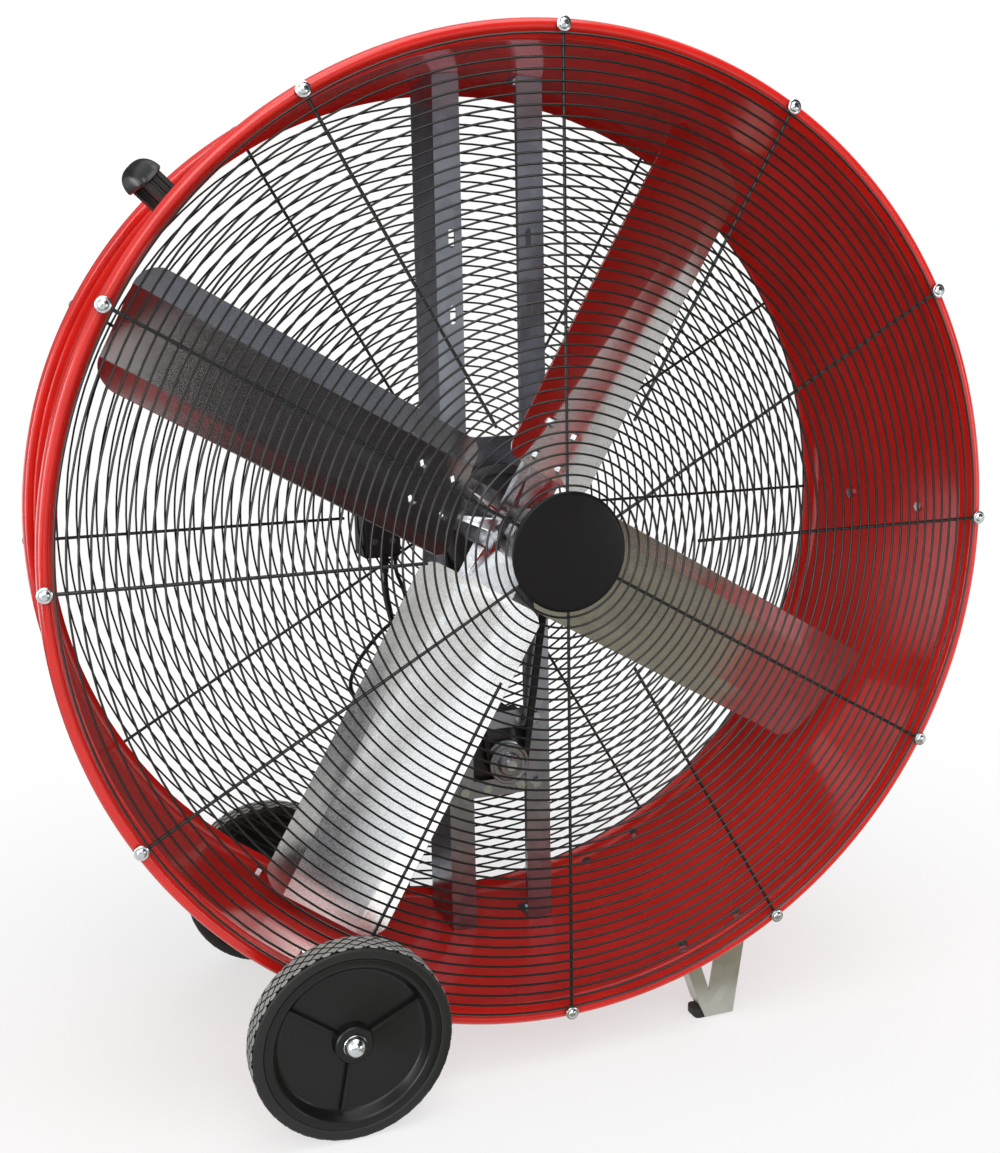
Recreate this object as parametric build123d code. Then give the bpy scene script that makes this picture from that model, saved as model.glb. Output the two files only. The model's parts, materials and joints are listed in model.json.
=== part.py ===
from build123d import *
import math
import os

# Portable drum fan, 48 inch class, belt driven. Millimetres.
# Frame: origin on the floor under the middle of the drum, +X to the right seen
# from the front, +Y towards the back (the front guard faces -Y), +Z up.

# ---------------------------------------------------------------- drum
DRUM_DEPTH = 407.0      # front rim face to rear rim face
WALL_R = 621.0          # inside radius of the drum's wall
WALL_T = 1.6            # sheet of the drum
BEAD_R = 8.0            # radius of the rolled edge at each end
BEAD_SIDES = 12         # the rolled edge is drawn with flats
BEAD_STAND = 13.4       # how far the rolled edge's middle stands out from the wall
FLARE_L = 12.0          # length over which the wall opens out to the rolled edge
LIP_RISE = 12.0         # height of the lip at the back, inwards from the wall
LIP_L = 26.0            # length of the lip along the drum
FLOOR_GAP = 59.0        # from the floor up to the rolled edges
SEAT_GAP = 0.3          # gap left between curved parts bolted together
WALL_OUT_R = WALL_R + WALL_T
BEAD_PITCH_R = WALL_OUT_R + BEAD_STAND
AXIS_H = FLOOR_GAP + BEAD_R + BEAD_PITCH_R      # height of the drum's axis
FRONT_Y = -DRUM_DEPTH / 2
REAR_Y = DRUM_DEPTH / 2

# ---------------------------------------------------------------- guards
RING_PITCH = 13.5       # spacing of the real guard's rings
RING_STEP = 5           # every fifth ring is modelled here
RING_FIRST_R = 85.0     # radius of the first ring outside the badge
RING_WIRE = 2.4
SPOKE_WIRE = 4.5
SPOKES = 12             # every second one is long and reaches the middle
LONG_SPOKE_R = 52.0
SHORT_SPOKE_R = 187.0
EYE_R = 8.0             # flattened eye on the end of each spoke
RINGS = 1 + int((BEAD_PITCH_R - EYE_R - RING_WIRE - RING_FIRST_R) / RING_PITCH)   # 41
WELD = 0.4              # depth to which crossing wires are welded together
BADGE_R = 78.0
BADGE_T = 3.0
SCREW_HEAD_R = 9.3
SCREW_HEAD_H = 4.0
SCREW_R = 2.5
SCREW_L = 14.0
SCREW_CLEARANCE = 0.2

# ---------------------------------------------------------------- bolts in sheet metal
BOLT_R = 4.0
BOLT_HEAD_R = 7.5
BOLT_HEAD_H = 4.5
BOLT_NUT_H = 6.0
HOLE_CLEARANCE = 0.3

# ---------------------------------------------------------------- struts
MOTOR_X = 6.0
MOTOR_R = 67.0
MOTOR_SIDE_GAP = 4.0    # from the motor to the nearer strut's web
STRUT_FLANGE = 38.0
STRUT_DEPTH = 100.0
STRUT_T = 3.0
STRUT_SETBACK = 145.0   # from the drum's rear rim forward to the struts' front face
STRUT_TAB_L = 46.0      # curved tab that meets the drum's wall
STRUT_X = MOTOR_X + MOTOR_R + MOTOR_SIDE_GAP + STRUT_T      # outer face of each web
STRUT_FRONT_Y = REAR_Y - STRUT_SETBACK
SLOT_X = STRUT_X - 23.0
SLOT_W = 8.6
SLOT_L = 26.0
SLOT_RISES = (297.0, 401.0)   # heights of the slots above and below the axis

# ---------------------------------------------------------------- fan, placed along the shaft
BELT_Y = STRUT_FRONT_Y - 15.5       # plane of the belt
BLADE_Y = BELT_Y - 56.5
HUB_FRONT_Y = BLADE_Y - 32.5
HUB_REAR_Y = BLADE_Y + 35.5
SHAFT_FRONT_Y = HUB_FRONT_Y - 16.0
SHAFT_REAR_Y = REAR_Y - 25.5
BLADES = 4
FIRST_BLADE_ANGLE = 60.0
TIP_CLEARANCE = 21.0    # from the blades' tips to the wall
BLADE_TIP_R = WALL_R - TIP_CLEARANCE
BLADE_ROOT_R = 88.0
BLADE_CHORD = 188.0
BLADE_STRIP = 38.0      # width of the bent strip along each edge
BLADE_BEND = 12.0       # angle of those strips
BLADE_PITCH = 25.0
BLADE_T = 2.0
BLADE_TIP_ROUND = 38.0
BLADE_ROOT_ROUND = 24.0
PADDLE_W = 84.0
PADDLE_T = 7.0
PADDLE_R = 176.0
BLADE_BOLT_RADII = (106.0, 156.0)
BLADE_BOLT_SPREAD = 56.0
SHAFT_R = 12.7
RUNNING_GAP = 0.05
HUB_R = 36.0
NUT_H = 14.0
NUT_R = 20.0

# ---------------------------------------------------------------- drive
BELT_W = 12.7
BELT_H = 8.0
BELT_DRAFT = 2.2        # how much each flank leans in
BELT_GAP = 0.3
SHEAVE_R = 88.0
SHEAVE_W = 18.0
SHEAVE_BOSS_R = 24.0
SHEAVE_WEB_T = 5.0
PULLEY_R = 31.0
PULLEY_W = 20.0
PULLEY_BOSS_R = 17.0
BEARING_PLATE_H = 250.0
PLATE_BOLT_INSET = 22.0
PLATE_T = 4.0
BEARING_SIDE = 88.0
BEARING_FLANGE_T = 8.0
BEARING_R = 31.0
BEARING_L = 26.0
REAR_PLATE_SETBACK = 10.5           # of its front face, forward of the struts' back edge
REAR_PLATE_Y = STRUT_FRONT_Y + STRUT_DEPTH - REAR_PLATE_SETBACK
MOTOR_DROP = 357.0      # motor axis below the drum's axis
MOTOR_FRONT_Y = STRUT_FRONT_Y + 11.5
MOTOR_REAR_Y = REAR_Y - 25.5
BELL_L = 26.0
MOTOR_SHAFT_R = 8.0
EAR_R = 11.0
EAR_X = STRUT_X - STRUT_FLANGE - BOLT_HEAD_R - MOTOR_X - 1.5    # bolt heads clear the flanges
STRAP_W = 26.0

# ---------------------------------------------------------------- wheels and legs
WHEEL_R = 127.0
WHEEL_W = 40.0
WHEEL_STAND = 79.0      # from the drum's rim to the outer face of each wheel
WHEEL_FACE_Y = REAR_Y + WHEEL_STAND
AXLE_STAND = 36.8       # from the drum's wall out to the axle
TREAD_T = 15.0
RIM_T = 15.0
HUB_BOSS_R = 24.0
WHEEL_WEB_T = 5.0
RIB_T = 3.5
RIB_ANGLES = (144.0, 25.0, -101.0)
AXLE_R = 8.0
AXLE_END = 8.0          # how far the axle stands out of each wheel
CAP_R = 14.0
CAP_H = 13.0
WASHER_R = 18.0
WASHER_T = 2.5
BRACKET_Y = REAR_Y - 53.5
BRACKET_W = 50.0
BRACKET_T = 4.0
BRACKET_HALF_ANGLE = 7.5
BRACKET_BOLT_ANGLE = 5.3
LEG_SETBACK = 23.0      # of each leg's outer face, behind the drum's rim
LEG_FACE_Y = REAR_Y - LEG_SETBACK
LEG_T = 3.0
LEG_FLANGE = 26.0
LEG_BOTTOM = 13.0       # height of the rubber foot
LEG_CLEARANCE = 3.0     # under the sheet that comes down in front of the foot
LEG_BOLT_OFFSETS = (48.0, -37.5)    # sideways from FOOT_X
LEG_TAB_ANGLE = 2.3
FOOT_X = 228.0
FOOT_W = 57.0
FOOT_D = 30.0
FOOT_SHIFT = 6.5        # of the foot's middle, to the right of FOOT_X
FOOT_ROUND = 7.0

# ---------------------------------------------------------------- handle
HANDLE_ANGLE = 135.5
HANDLE_Y = -10.0
HANDLE_SPAN = 110.0     # between the two posts' middles
GRIP_L = 148.0
GRIP_W = 36.0
GRIP_STAND = 41.4       # from the drum's wall out to the grip's underside
GRIP_R = WALL_OUT_R + GRIP_STAND
GRIP_H = 26.0
POST_W = 24.0
POST_D = 22.0

# ---------------------------------------------------------------- switch box
BOX_X = -129.0
BOX_W = 58.0
BOX_H = 106.0
BOX_DROP = 65.0         # of the box's underside, below the drum's axis
BOX_BOTTOM = AXIS_H - BOX_DROP
BOX_DEPTH = 46.0
BOX_WALL = 2.5
COVER_T = 3.0
CLAMP_T = 2.0
KNOB_R = 17.0
KNOB_L = 16.0
KNOB_STEM_R = 5.0

# ---------------------------------------------------------------- cords
CORD_D = 7.6
CORD_SIDES = 6
COIL_INNER_R = 29.5
COIL_PITCH = 8.6
COIL_RISE = 8.2         # from the lower layer of the coil to the upper one
COIL_HALF_TURNS = 6     # half turns on the floor, and again in the upper layer
COIL_X = 120.0
COIL_Y = 310.0
PLUG_R = 12.0
PLUG_L = 26.0
PLUG_NECK_L = 24.0
PLUG_TAIL_L = 18.0
LEAD_D = 6.2
LEAD_SIDES = 6
RELIEF_L = 28.0
GROMMET_R = 5.5
GROMMET_H = 7.0

MOTOR_H = AXIS_H - MOTOR_DROP
parts = {}
os.makedirs("parts", exist_ok=True)


# ---------------------------------------------------------------- helpers
def turned(outline):
    """Revolves a closed (radius, y) outline, or a ready face, about the Y axis."""
    face = make_face(Polyline(*outline, close=True)) if isinstance(outline, list) else outline
    return revolve(face, axis=Axis.Y)


def placed(shape, angle=0.0, x=0.0, y=0.0, z=AXIS_H):
    """Turns a shape built along +X to an angle seen from the front, then moves it."""
    return Pos(x, y, z) * Rot(0, -angle, 0) * shape


def rod(radius, start, end):
    """A round bar along X."""
    return Pos((start + end) / 2, 0, 0) * Cylinder(radius, end - start, rotation=(0, 90, 0))


def bar_y(radius, start, end):
    """A round bar along Y."""
    return Pos(0, (start + end) / 2, 0) * Cylinder(radius, end - start, rotation=(90, 0, 0))


def block(x0, x1, y0, y1, z0, z1):
    """A box between two corners."""
    middle = Pos((x0 + x1) / 2, (y0 + y1) / 2, (z0 + z1) / 2)
    return middle * Box(x1 - x0, y1 - y0, z1 - z0)


def hexagon_x(radius, start, end):
    """A hexagonal bar along X."""
    return Plane.YZ.offset(start) * extrude(RegularPolygon(radius, 6), end - start)


def hexagon_y(radius, start, end):
    """A hexagonal bar along Y."""
    return Pos(0, end, 0) * Rot(90, 0, 0) * extrude(RegularPolygon(radius, 6), end - start)


def curved_pad(inner_r, outer_r, half_angle, y0, y1):
    """A piece of a cylinder's wall, centred on +X."""
    face = make_face(Polyline((inner_r, y0), (outer_r, y0), (outer_r, y1), (inner_r, y1), close=True))
    return Rot(0, -half_angle, 0) * revolve(face, axis=Axis.Y, revolution_arc=2 * half_angle)


def shank_x(start, end):
    """A bolt's shank along X, drawn with eight sides."""
    return Plane.YZ.offset(start) * extrude(RegularPolygon(BOLT_R, 8), end - start)


def shank_y(radius, start, end):
    """A bolt's shank along Y, drawn with eight sides."""
    return Pos(0, end, 0) * Rot(90, 0, 0) * extrude(RegularPolygon(radius, 8), end - start)


def wall_bolt(inner_r, outer_r):
    """A bolt through the drum's wall, head inside and nut outside, along +X."""
    head = hexagon_x(BOLT_HEAD_R, inner_r - BOLT_HEAD_H, inner_r)
    nut = hexagon_x(BOLT_HEAD_R, outer_r, outer_r + BOLT_NUT_H)
    return head + shank_x(inner_r, outer_r) + nut


def group(shapes):
    """Separate solids kept together in one node."""
    return Compound(children=[solid for shape in shapes for solid in shape.solids()])


# ---------------------------------------------------------------- where the wall is drilled
strut_end_angle = math.degrees(math.asin(SLOT_X / WALL_R))
strut_bolt_spots = [
    (base + side * strut_end_angle, STRUT_FRONT_Y + STRUT_T + along)
    for base in (90.0, -90.0)
    for side in (-1, 1)
    for along in (0.35 * STRUT_TAB_L, 0.75 * STRUT_TAB_L)
]
axle_drop = AXIS_H - WHEEL_R
axle_radius = WALL_OUT_R + AXLE_STAND
wheel_x = -math.sqrt(axle_radius ** 2 - axle_drop ** 2)
axle_angle = math.degrees(math.atan2(-axle_drop, wheel_x))
bracket_bolt_spots = [
    (axle_angle + side * BRACKET_BOLT_ANGLE, end * BRACKET_Y)
    for side in (-1, 1)
    for end in (-1, 1)
]
leg_tab_y = LEG_FACE_Y - LEG_FLANGE / 2
leg_bolt_angles = [-math.degrees(math.acos((FOOT_X + offset) / WALL_OUT_R)) for offset in LEG_BOLT_OFFSETS]
leg_bolt_spots = [(angle, end * leg_tab_y) for angle in leg_bolt_angles for end in (-1, 1)]
handle_bolt_spots = [(HANDLE_ANGLE, HANDLE_Y + side * HANDLE_SPAN / 2) for side in (-1, 1)]
side_bolt_spots = [(0.2, 82.5), (0.2, -92.5)]
wall_spots = strut_bolt_spots + bracket_bolt_spots + leg_bolt_spots
wall_spots += handle_bolt_spots + side_bolt_spots


# ---------------------------------------------------------------- drum shell
def drum_profile():
    """Section of the rolled sheet: wall, flared ends with rolled edges, inner lip at the back."""
    bead_y = REAR_Y - BEAD_R
    wall_end = bead_y - BEAD_R - FLARE_L / 2
    wall = make_face(Polyline(
        (WALL_R, -wall_end), (WALL_OUT_R, -wall_end), (WALL_OUT_R, wall_end), (WALL_R, wall_end),
        close=True))
    profile = wall
    for end in (-1, 1):
        flare = make_face(Polyline(
            (WALL_R, end * wall_end), (WALL_OUT_R, end * wall_end),
            (BEAD_PITCH_R - 0.6 * BEAD_R, end * (bead_y - 0.4 * BEAD_R)),
            (BEAD_PITCH_R - 0.8 * BEAD_R, end * bead_y), close=True))
        corner_r = BEAD_R / math.cos(math.pi / BEAD_SIDES)
        bead = Pos(BEAD_PITCH_R, end * bead_y) * RegularPolygon(
            corner_r, BEAD_SIDES, rotation=180 / BEAD_SIDES)
        profile = profile + flare + bead
    lip_start = REAR_Y - LIP_L
    lip_r = WALL_R - LIP_RISE
    lip = make_face(Polyline(
        (WALL_R, lip_start), (WALL_OUT_R, lip_start), (WALL_R - 3.0, REAR_Y - 11.0),
        (lip_r, REAR_Y - 1.0), (lip_r, REAR_Y - 3.5), (WALL_R - 5.0, REAR_Y - 12.5), close=True))
    return profile + lip


drum = turned(drum_profile())
for angle, y in wall_spots:
    drum -= Rot(0, -angle, 0) * Pos(0, y, 0) * rod(BOLT_R + HOLE_CLEARANCE, WALL_R - 6, WALL_OUT_R + 6)
guard_screw_hole = SCREW_R + SCREW_CLEARANCE
for end in (-1, 1):
    for index in range(SPOKES):
        seat = end * (REAR_Y - SCREW_L / 2)
        hole = shank_y(guard_screw_hole / math.cos(math.pi / 8), seat - SCREW_L / 2 - 1, seat + SCREW_L / 2 + 1)
        drum -= Rot(0, -index * 360 / SPOKES, 0) * Pos(BEAD_PITCH_R, 0, 0) * hole
parts["drum_shell"] = placed(drum)


# ---------------------------------------------------------------- guards
def ring_sides(radius):
    """Sides of a ring drawn as a polygon: more on the larger rings."""
    return 24 if radius < 300 else 36


def guard():
    """A welded wire guard with its spokes on y = 0 and its rings in front, towards -Y."""
    spoke_faces = []
    for index in range(SPOKES):
        inner = LONG_SPOKE_R if index % 2 else SHORT_SPOKE_R
        wire = Pos((inner + BEAD_PITCH_R) / 2, 0) * Rectangle(BEAD_PITCH_R - inner, SPOKE_WIRE)
        eye = Pos(BEAD_PITCH_R, 0) * (Circle(EYE_R) - Circle(guard_screw_hole))
        spoke_faces.append(Rot(0, 0, index * 360 / SPOKES) * (wire - Pos(BEAD_PITCH_R, 0) * Circle(EYE_R)))
        spoke_faces.append(Rot(0, 0, index * 360 / SPOKES) * eye)
    welded = extrude(Sketch() + spoke_faces, SPOKE_WIRE)
    radii = [RING_FIRST_R + RING_PITCH * k for k in range(0, RINGS, RING_STEP)]
    radii.insert(0, RING_FIRST_R - 1.5 * RING_PITCH)
    for radius in radii:
        sides = ring_sides(radius)
        ring = RegularPolygon(radius + RING_WIRE / 2, sides) - RegularPolygon(radius - RING_WIRE / 2, sides)
        welded += Pos(0, 0, SPOKE_WIRE - WELD) * extrude(ring, RING_WIRE)
    return Rot(90, 0, 0) * welded


GUARD_DEPTH = SPOKE_WIRE - WELD + RING_WIRE
parts["front_guard"] = placed(guard(), y=FRONT_Y)
parts["rear_guard"] = placed(Rot(0, 0, 180) * guard(), y=REAR_Y)

badge_back = -GUARD_DEPTH
badge_front = badge_back - BADGE_T
parts["hub_badge"] = placed(turned([
    (0, badge_back), (BADGE_R, badge_back), (BADGE_R, badge_back - 1.0),
    (BADGE_R - 3.0, badge_front), (0, badge_front)]), y=FRONT_Y)


def guard_screw():
    """Washer-head screw through a spoke's eye into the rolled edge, head towards -Y."""
    head = Rot(90, 0, 0) * extrude(RegularPolygon(SCREW_HEAD_R, 10), SCREW_HEAD_H, taper=38)
    return head + shank_y(SCREW_R, 0, SPOKE_WIRE + SCREW_L)


def screw_circle():
    """The twelve screws of one guard, seated on its eyes."""
    return [
        Rot(0, -index * 360 / SPOKES, 0) * Pos(BEAD_PITCH_R, -SPOKE_WIRE, 0) * guard_screw()
        for index in range(SPOKES)
    ]


parts["front_guard_screws"] = placed(group(screw_circle()), y=FRONT_Y)
parts["rear_guard_screws"] = placed(Rot(0, 0, 180) * group(screw_circle()), y=REAR_Y)


# ---------------------------------------------------------------- struts
plate_half = STRUT_X - STRUT_T - SEAT_GAP
front_plate_y = STRUT_FRONT_Y + STRUT_T
half_plate_h = BEARING_PLATE_H / 2
plate_bolt_rises = [up * (half_plate_h - PLATE_BOLT_INSET) for up in (-1, 1)]
plate_bolt_spots = [(side * SLOT_X, rise) for side in (-1, 1) for rise in plate_bolt_rises]
tab_outer_r = WALL_R - SEAT_GAP
tab_inner_r = tab_outer_r - STRUT_T


def strut(side):
    """An angle strut across the drum with a curved tab at each end."""
    outer = side * STRUT_X
    inner = side * (STRUT_X - STRUT_FLANGE)
    web_inner = side * (STRUT_X - STRUT_T)
    back = STRUT_FRONT_Y + STRUT_DEPTH
    section = make_face(Polyline(
        (outer, STRUT_FRONT_Y), (inner, STRUT_FRONT_Y), (inner, STRUT_FRONT_Y + STRUT_T),
        (web_inner, STRUT_FRONT_Y + STRUT_T), (web_inner, back), (outer, back), close=True))
    body = Pos(0, 0, -WALL_R) * extrude(section, 2 * WALL_R)
    body = body & bar_y(tab_inner_r + 1.0, 0, 2 * back)
    half_tab = math.degrees(math.asin((STRUT_FLANGE - STRUT_T) / 2 / WALL_R))
    tab_front = STRUT_FRONT_Y
    for base in (90.0, -90.0):
        tab_middle = side * (STRUT_X + STRUT_X - STRUT_FLANGE) / 2
        lean = math.degrees(math.asin(tab_middle / WALL_R))
        angle = base - lean if base > 0 else base + lean
        tab = curved_pad(tab_inner_r, tab_outer_r, half_tab, tab_front, tab_front + STRUT_TAB_L + STRUT_T)
        body += Rot(0, -angle, 0) * tab
    for rise in SLOT_RISES:
        for up in (-1, 1):
            slot = extrude(SlotOverall(SLOT_L, SLOT_W, rotation=90), STRUT_T * 4)
            body -= Pos(side * SLOT_X, STRUT_FRONT_Y + 2.5 * STRUT_T, up * rise) * Rot(90, 0, 0) * slot
    for rise in plate_bolt_rises:
        hole = bar_y(BOLT_R + HOLE_CLEARANCE, STRUT_FRONT_Y - 1, front_plate_y + 1)
        body -= Pos(side * SLOT_X, 0, rise) * hole
    for angle, y in strut_bolt_spots:
        drill = Pos(0, y, 0) * rod(BOLT_R + HOLE_CLEARANCE, tab_inner_r - 4, tab_outer_r + 4)
        body -= Rot(0, -angle, 0) * drill
    return body


parts["strut_left"] = placed(strut(-1))
parts["strut_right"] = placed(strut(1))
nut_seat_r = WALL_OUT_R + SEAT_GAP
strut_end_bolts = [
    Rot(0, -angle, 0) * Pos(0, y, 0) * wall_bolt(tab_inner_r - SEAT_GAP, nut_seat_r)
    for angle, y in strut_bolt_spots
]
side_bolts = [
    Rot(0, -angle, 0) * Pos(0, y, 0) * wall_bolt(WALL_R - SEAT_GAP, nut_seat_r)
    for angle, y in side_bolt_spots
]
parts["wall_bolts"] = placed(group(strut_end_bolts + side_bolts))


# ---------------------------------------------------------------- fan: hub, blades, shaft
def at_pitch(shape):
    """Turns a blade or paddle to its pitch about its own length."""
    return Pos(0, BLADE_Y, 0) * Rot(BLADE_PITCH, 0, 0) * shape


def blade_holes(depth):
    """The four bolt holes of one blade, along Y."""
    return [
        Pos(r, 0, side * BLADE_BOLT_SPREAD / 2) * bar_y(BOLT_R + HOLE_CLEARANCE, -depth, depth)
        for r in BLADE_BOLT_RADII
        for side in (-1, 1)
    ]


def blade():
    """Sheet blade along +X: flat middle, both long edges bent forward, rounded corners."""
    half_flat = BLADE_CHORD / 2 - BLADE_STRIP
    bend = math.radians(BLADE_BEND)
    edge = (half_flat + BLADE_STRIP * math.cos(bend), -BLADE_STRIP * math.sin(bend))
    lean = (BLADE_T * math.sin(bend), BLADE_T * math.cos(bend))
    section = make_face(Polyline(
        (-edge[0], edge[1]), (-half_flat, 0), (half_flat, 0), (edge[0], edge[1]),
        (edge[0] - lean[0], edge[1] - lean[1]), (half_flat - BLADE_T * math.tan(bend / 2), -BLADE_T),
        (-half_flat + BLADE_T * math.tan(bend / 2), -BLADE_T),
        (-edge[0] + lean[0], edge[1] - lean[1]), close=True))
    length = BLADE_TIP_R - BLADE_ROOT_R
    sheet = Plane(origin=(BLADE_ROOT_R, 0, 0), x_dir=(0, 0, 1), z_dir=(-1, 0, 0)) * section
    sheet = extrude(sheet, length, dir=(1, 0, 0))
    outline = Pos((BLADE_ROOT_R + BLADE_TIP_R) / 2, 0) * Rectangle(length, 2 * edge[0] + 2)
    corners = outline.vertices()
    outline = fillet(corners.filter_by(lambda v: v.X > BLADE_ROOT_R + 1), BLADE_TIP_ROUND)
    root_corners = outline.vertices().filter_by(lambda v: v.X < BLADE_ROOT_R + 1)
    outline = fillet(root_corners, BLADE_ROOT_ROUND)
    cutter = Rot(90, 0, 0) * extrude(outline, 40, both=True)
    trimmed = sheet & cutter
    for hole in blade_holes(20):
        trimmed -= hole
    return at_pitch(trimmed)


blade_angles = [FIRST_BLADE_ANGLE + k * 360 / BLADES for k in range(BLADES)]
one_blade = blade()
for number, angle in enumerate(blade_angles, start=1):
    parts[f"blade_{number}"] = placed(one_blade, angle)

hub = bar_y(HUB_R, HUB_FRONT_Y, HUB_REAR_Y)
for angle in blade_angles:
    paddle = block(HUB_R - 12, PADDLE_R, 0, PADDLE_T, -PADDLE_W / 2, PADDLE_W / 2)
    paddle = fillet(paddle.edges().filter_by(Axis.Y).group_by(Axis.X)[-1], 16)
    for hole in blade_holes(30):
        paddle -= hole
    hub += Rot(0, -angle, 0) * at_pitch(paddle)
hub -= bar_y(SHAFT_R + RUNNING_GAP, HUB_FRONT_Y - 1, HUB_REAR_Y + 1)
parts["blade_hub"] = placed(hub)


def blade_bolt():
    """Hex bolt along Y, head on the blade's front, nut behind the paddle."""
    head = hexagon_y(BOLT_HEAD_R, -BLADE_T - BOLT_HEAD_H, -BLADE_T)
    nut = hexagon_y(BOLT_HEAD_R, PADDLE_T, PADDLE_T + BOLT_NUT_H)
    return head + shank_y(BOLT_R, -BLADE_T, PADDLE_T) + nut


parts["blade_bolts"] = placed(group(
    Rot(0, -angle, 0) * at_pitch(Pos(r, 0, side * BLADE_BOLT_SPREAD / 2) * blade_bolt())
    for angle in blade_angles
    for r in BLADE_BOLT_RADII
    for side in (-1, 1)))

parts["fan_shaft"] = placed(bar_y(SHAFT_R, SHAFT_FRONT_Y, SHAFT_REAR_Y))
hub_nut = hexagon_y(NUT_R, HUB_FRONT_Y - NUT_H, HUB_FRONT_Y)
parts["hub_nut"] = placed(hub_nut - bar_y(SHAFT_R + RUNNING_GAP, SHAFT_FRONT_Y - 1, HUB_FRONT_Y + 1))


# ---------------------------------------------------------------- belt drive
def grooved(rim_r, width, boss_r, bore_r, web_t):
    """A V-belt wheel about the Y axis, its groove in the plane y = 0."""
    mouth = BELT_W / 2 + BELT_GAP
    floor_r = rim_r - BELT_H - BELT_GAP
    floor = mouth - BELT_DRAFT
    half = width / 2
    rim_inner = floor_r - 5.0
    web = web_t / 2
    return turned([
        (bore_r, -half), (boss_r, -half), (boss_r, -web), (rim_inner, -web), (rim_inner, -half),
        (rim_r, -half), (rim_r, -mouth), (floor_r, -floor), (floor_r, floor), (rim_r, mouth),
        (rim_r, half), (rim_inner, half), (rim_inner, web), (boss_r, web), (boss_r, half),
        (bore_r, half)])


def solid_pulley(rim_r, width, boss_r, bore_r):
    """A small solid V pulley with a boss towards -Y."""
    mouth = BELT_W / 2 + BELT_GAP
    floor_r = rim_r - BELT_H - BELT_GAP
    floor = mouth - BELT_DRAFT
    half = width / 2
    return turned([
        (bore_r, -half - 6), (boss_r, -half - 6), (boss_r, -half), (rim_r, -half), (rim_r, -mouth),
        (floor_r, -floor), (floor_r, floor), (rim_r, mouth), (rim_r, half), (bore_r, half)])


parts["driven_sheave"] = placed(
    grooved(SHEAVE_R, SHEAVE_W, SHEAVE_BOSS_R, SHAFT_R + RUNNING_GAP, SHEAVE_WEB_T), y=BELT_Y)
parts["motor_pulley"] = placed(
    solid_pulley(PULLEY_R, PULLEY_W, PULLEY_BOSS_R, MOTOR_SHAFT_R + RUNNING_GAP),
    x=MOTOR_X, y=BELT_Y, z=MOTOR_H)


def belt():
    """Trapezoid belt over both wheels: two arcs and the two runs that touch them."""
    big = SHEAVE_R - BELT_H
    small = PULLEY_R - BELT_H
    spread = math.hypot(MOTOR_X, MOTOR_DROP)
    tilt = math.asin((big - small) / spread)
    down = math.atan2(-MOTOR_DROP, MOTOR_X)

    def on_wheel(radius, angle, x=0.0, z=0.0):
        return x + radius * math.cos(angle), z + radius * math.sin(angle)

    swing = math.pi / 2 - tilt
    top = on_wheel(big, down + math.pi)
    bottom = on_wheel(small, down, MOTOR_X, -MOTOR_DROP)
    big_ends = [on_wheel(big, down + way * swing) for way in (-1, 1)]
    small_ends = [on_wheel(small, down + way * swing, MOTOR_X, -MOTOR_DROP) for way in (-1, 1)]
    half_left = on_wheel(big, down - (math.pi + swing) / 2)
    half_right = on_wheel(big, down + (math.pi + swing) / 2)
    loop = Wire([
        ThreePointArc(top, half_left, big_ends[0]).edge(),
        Line(big_ends[0], small_ends[0]).edge(),
        ThreePointArc(small_ends[0], bottom, small_ends[1]).edge(),
        Line(small_ends[1], big_ends[1]).edge(),
        ThreePointArc(big_ends[1], half_right, top).edge()])
    outward = Vector(*top).normalized()
    section_plane = Plane(origin=top, x_dir=outward, z_dir=outward.rotate(Axis.Z, 90))
    inner_half = BELT_W / 2 - BELT_DRAFT
    section = section_plane * make_face(Polyline(
        (BELT_GAP, -inner_half), (BELT_H, -BELT_W / 2), (BELT_H, BELT_W / 2), (BELT_GAP, inner_half),
        close=True))
    return Rot(90, 0, 0) * sweep(section, path=loop)


parts["drive_belt"] = placed(belt(), y=BELT_Y)


# ---------------------------------------------------------------- bearings and their plates
bearing_bolt_offset = BEARING_SIDE / 2 - 13
bearing_bolt_spots = [(sx * bearing_bolt_offset, sz * bearing_bolt_offset) for sx in (-1, 1) for sz in (-1, 1)]


def drilled(shape, spots, radius, y0, y1):
    """Holes along Y at (x, z) spots."""
    for x, z in spots:
        shape -= Pos(x, 0, z) * bar_y(radius, y0, y1)
    return shape


def bolts_along_y(spots, front, back):
    """Hex bolts along Y at (x, z) spots, clamping from front to back."""
    made = []
    for x, z in spots:
        head = hexagon_y(BOLT_HEAD_R, front - BOLT_HEAD_H, front)
        nut = hexagon_y(BOLT_HEAD_R, back, back + BOLT_NUT_H)
        made.append(Pos(x, 0, z) * (head + shank_y(BOLT_R, front, back) + nut))
    return made


def front_plate():
    """Flat plate behind the struts' flanges that carries the front bearing."""
    plate = block(-plate_half, plate_half, front_plate_y, front_plate_y + PLATE_T,
                  -half_plate_h, half_plate_h)
    plate -= bar_y(SHAFT_R + 6, front_plate_y - 1, front_plate_y + PLATE_T + 1)
    far = front_plate_y + PLATE_T + 1
    plate = drilled(plate, plate_bolt_spots + bearing_bolt_spots, BOLT_R + HOLE_CLEARANCE,
                    front_plate_y - 1, far)
    return plate


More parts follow.
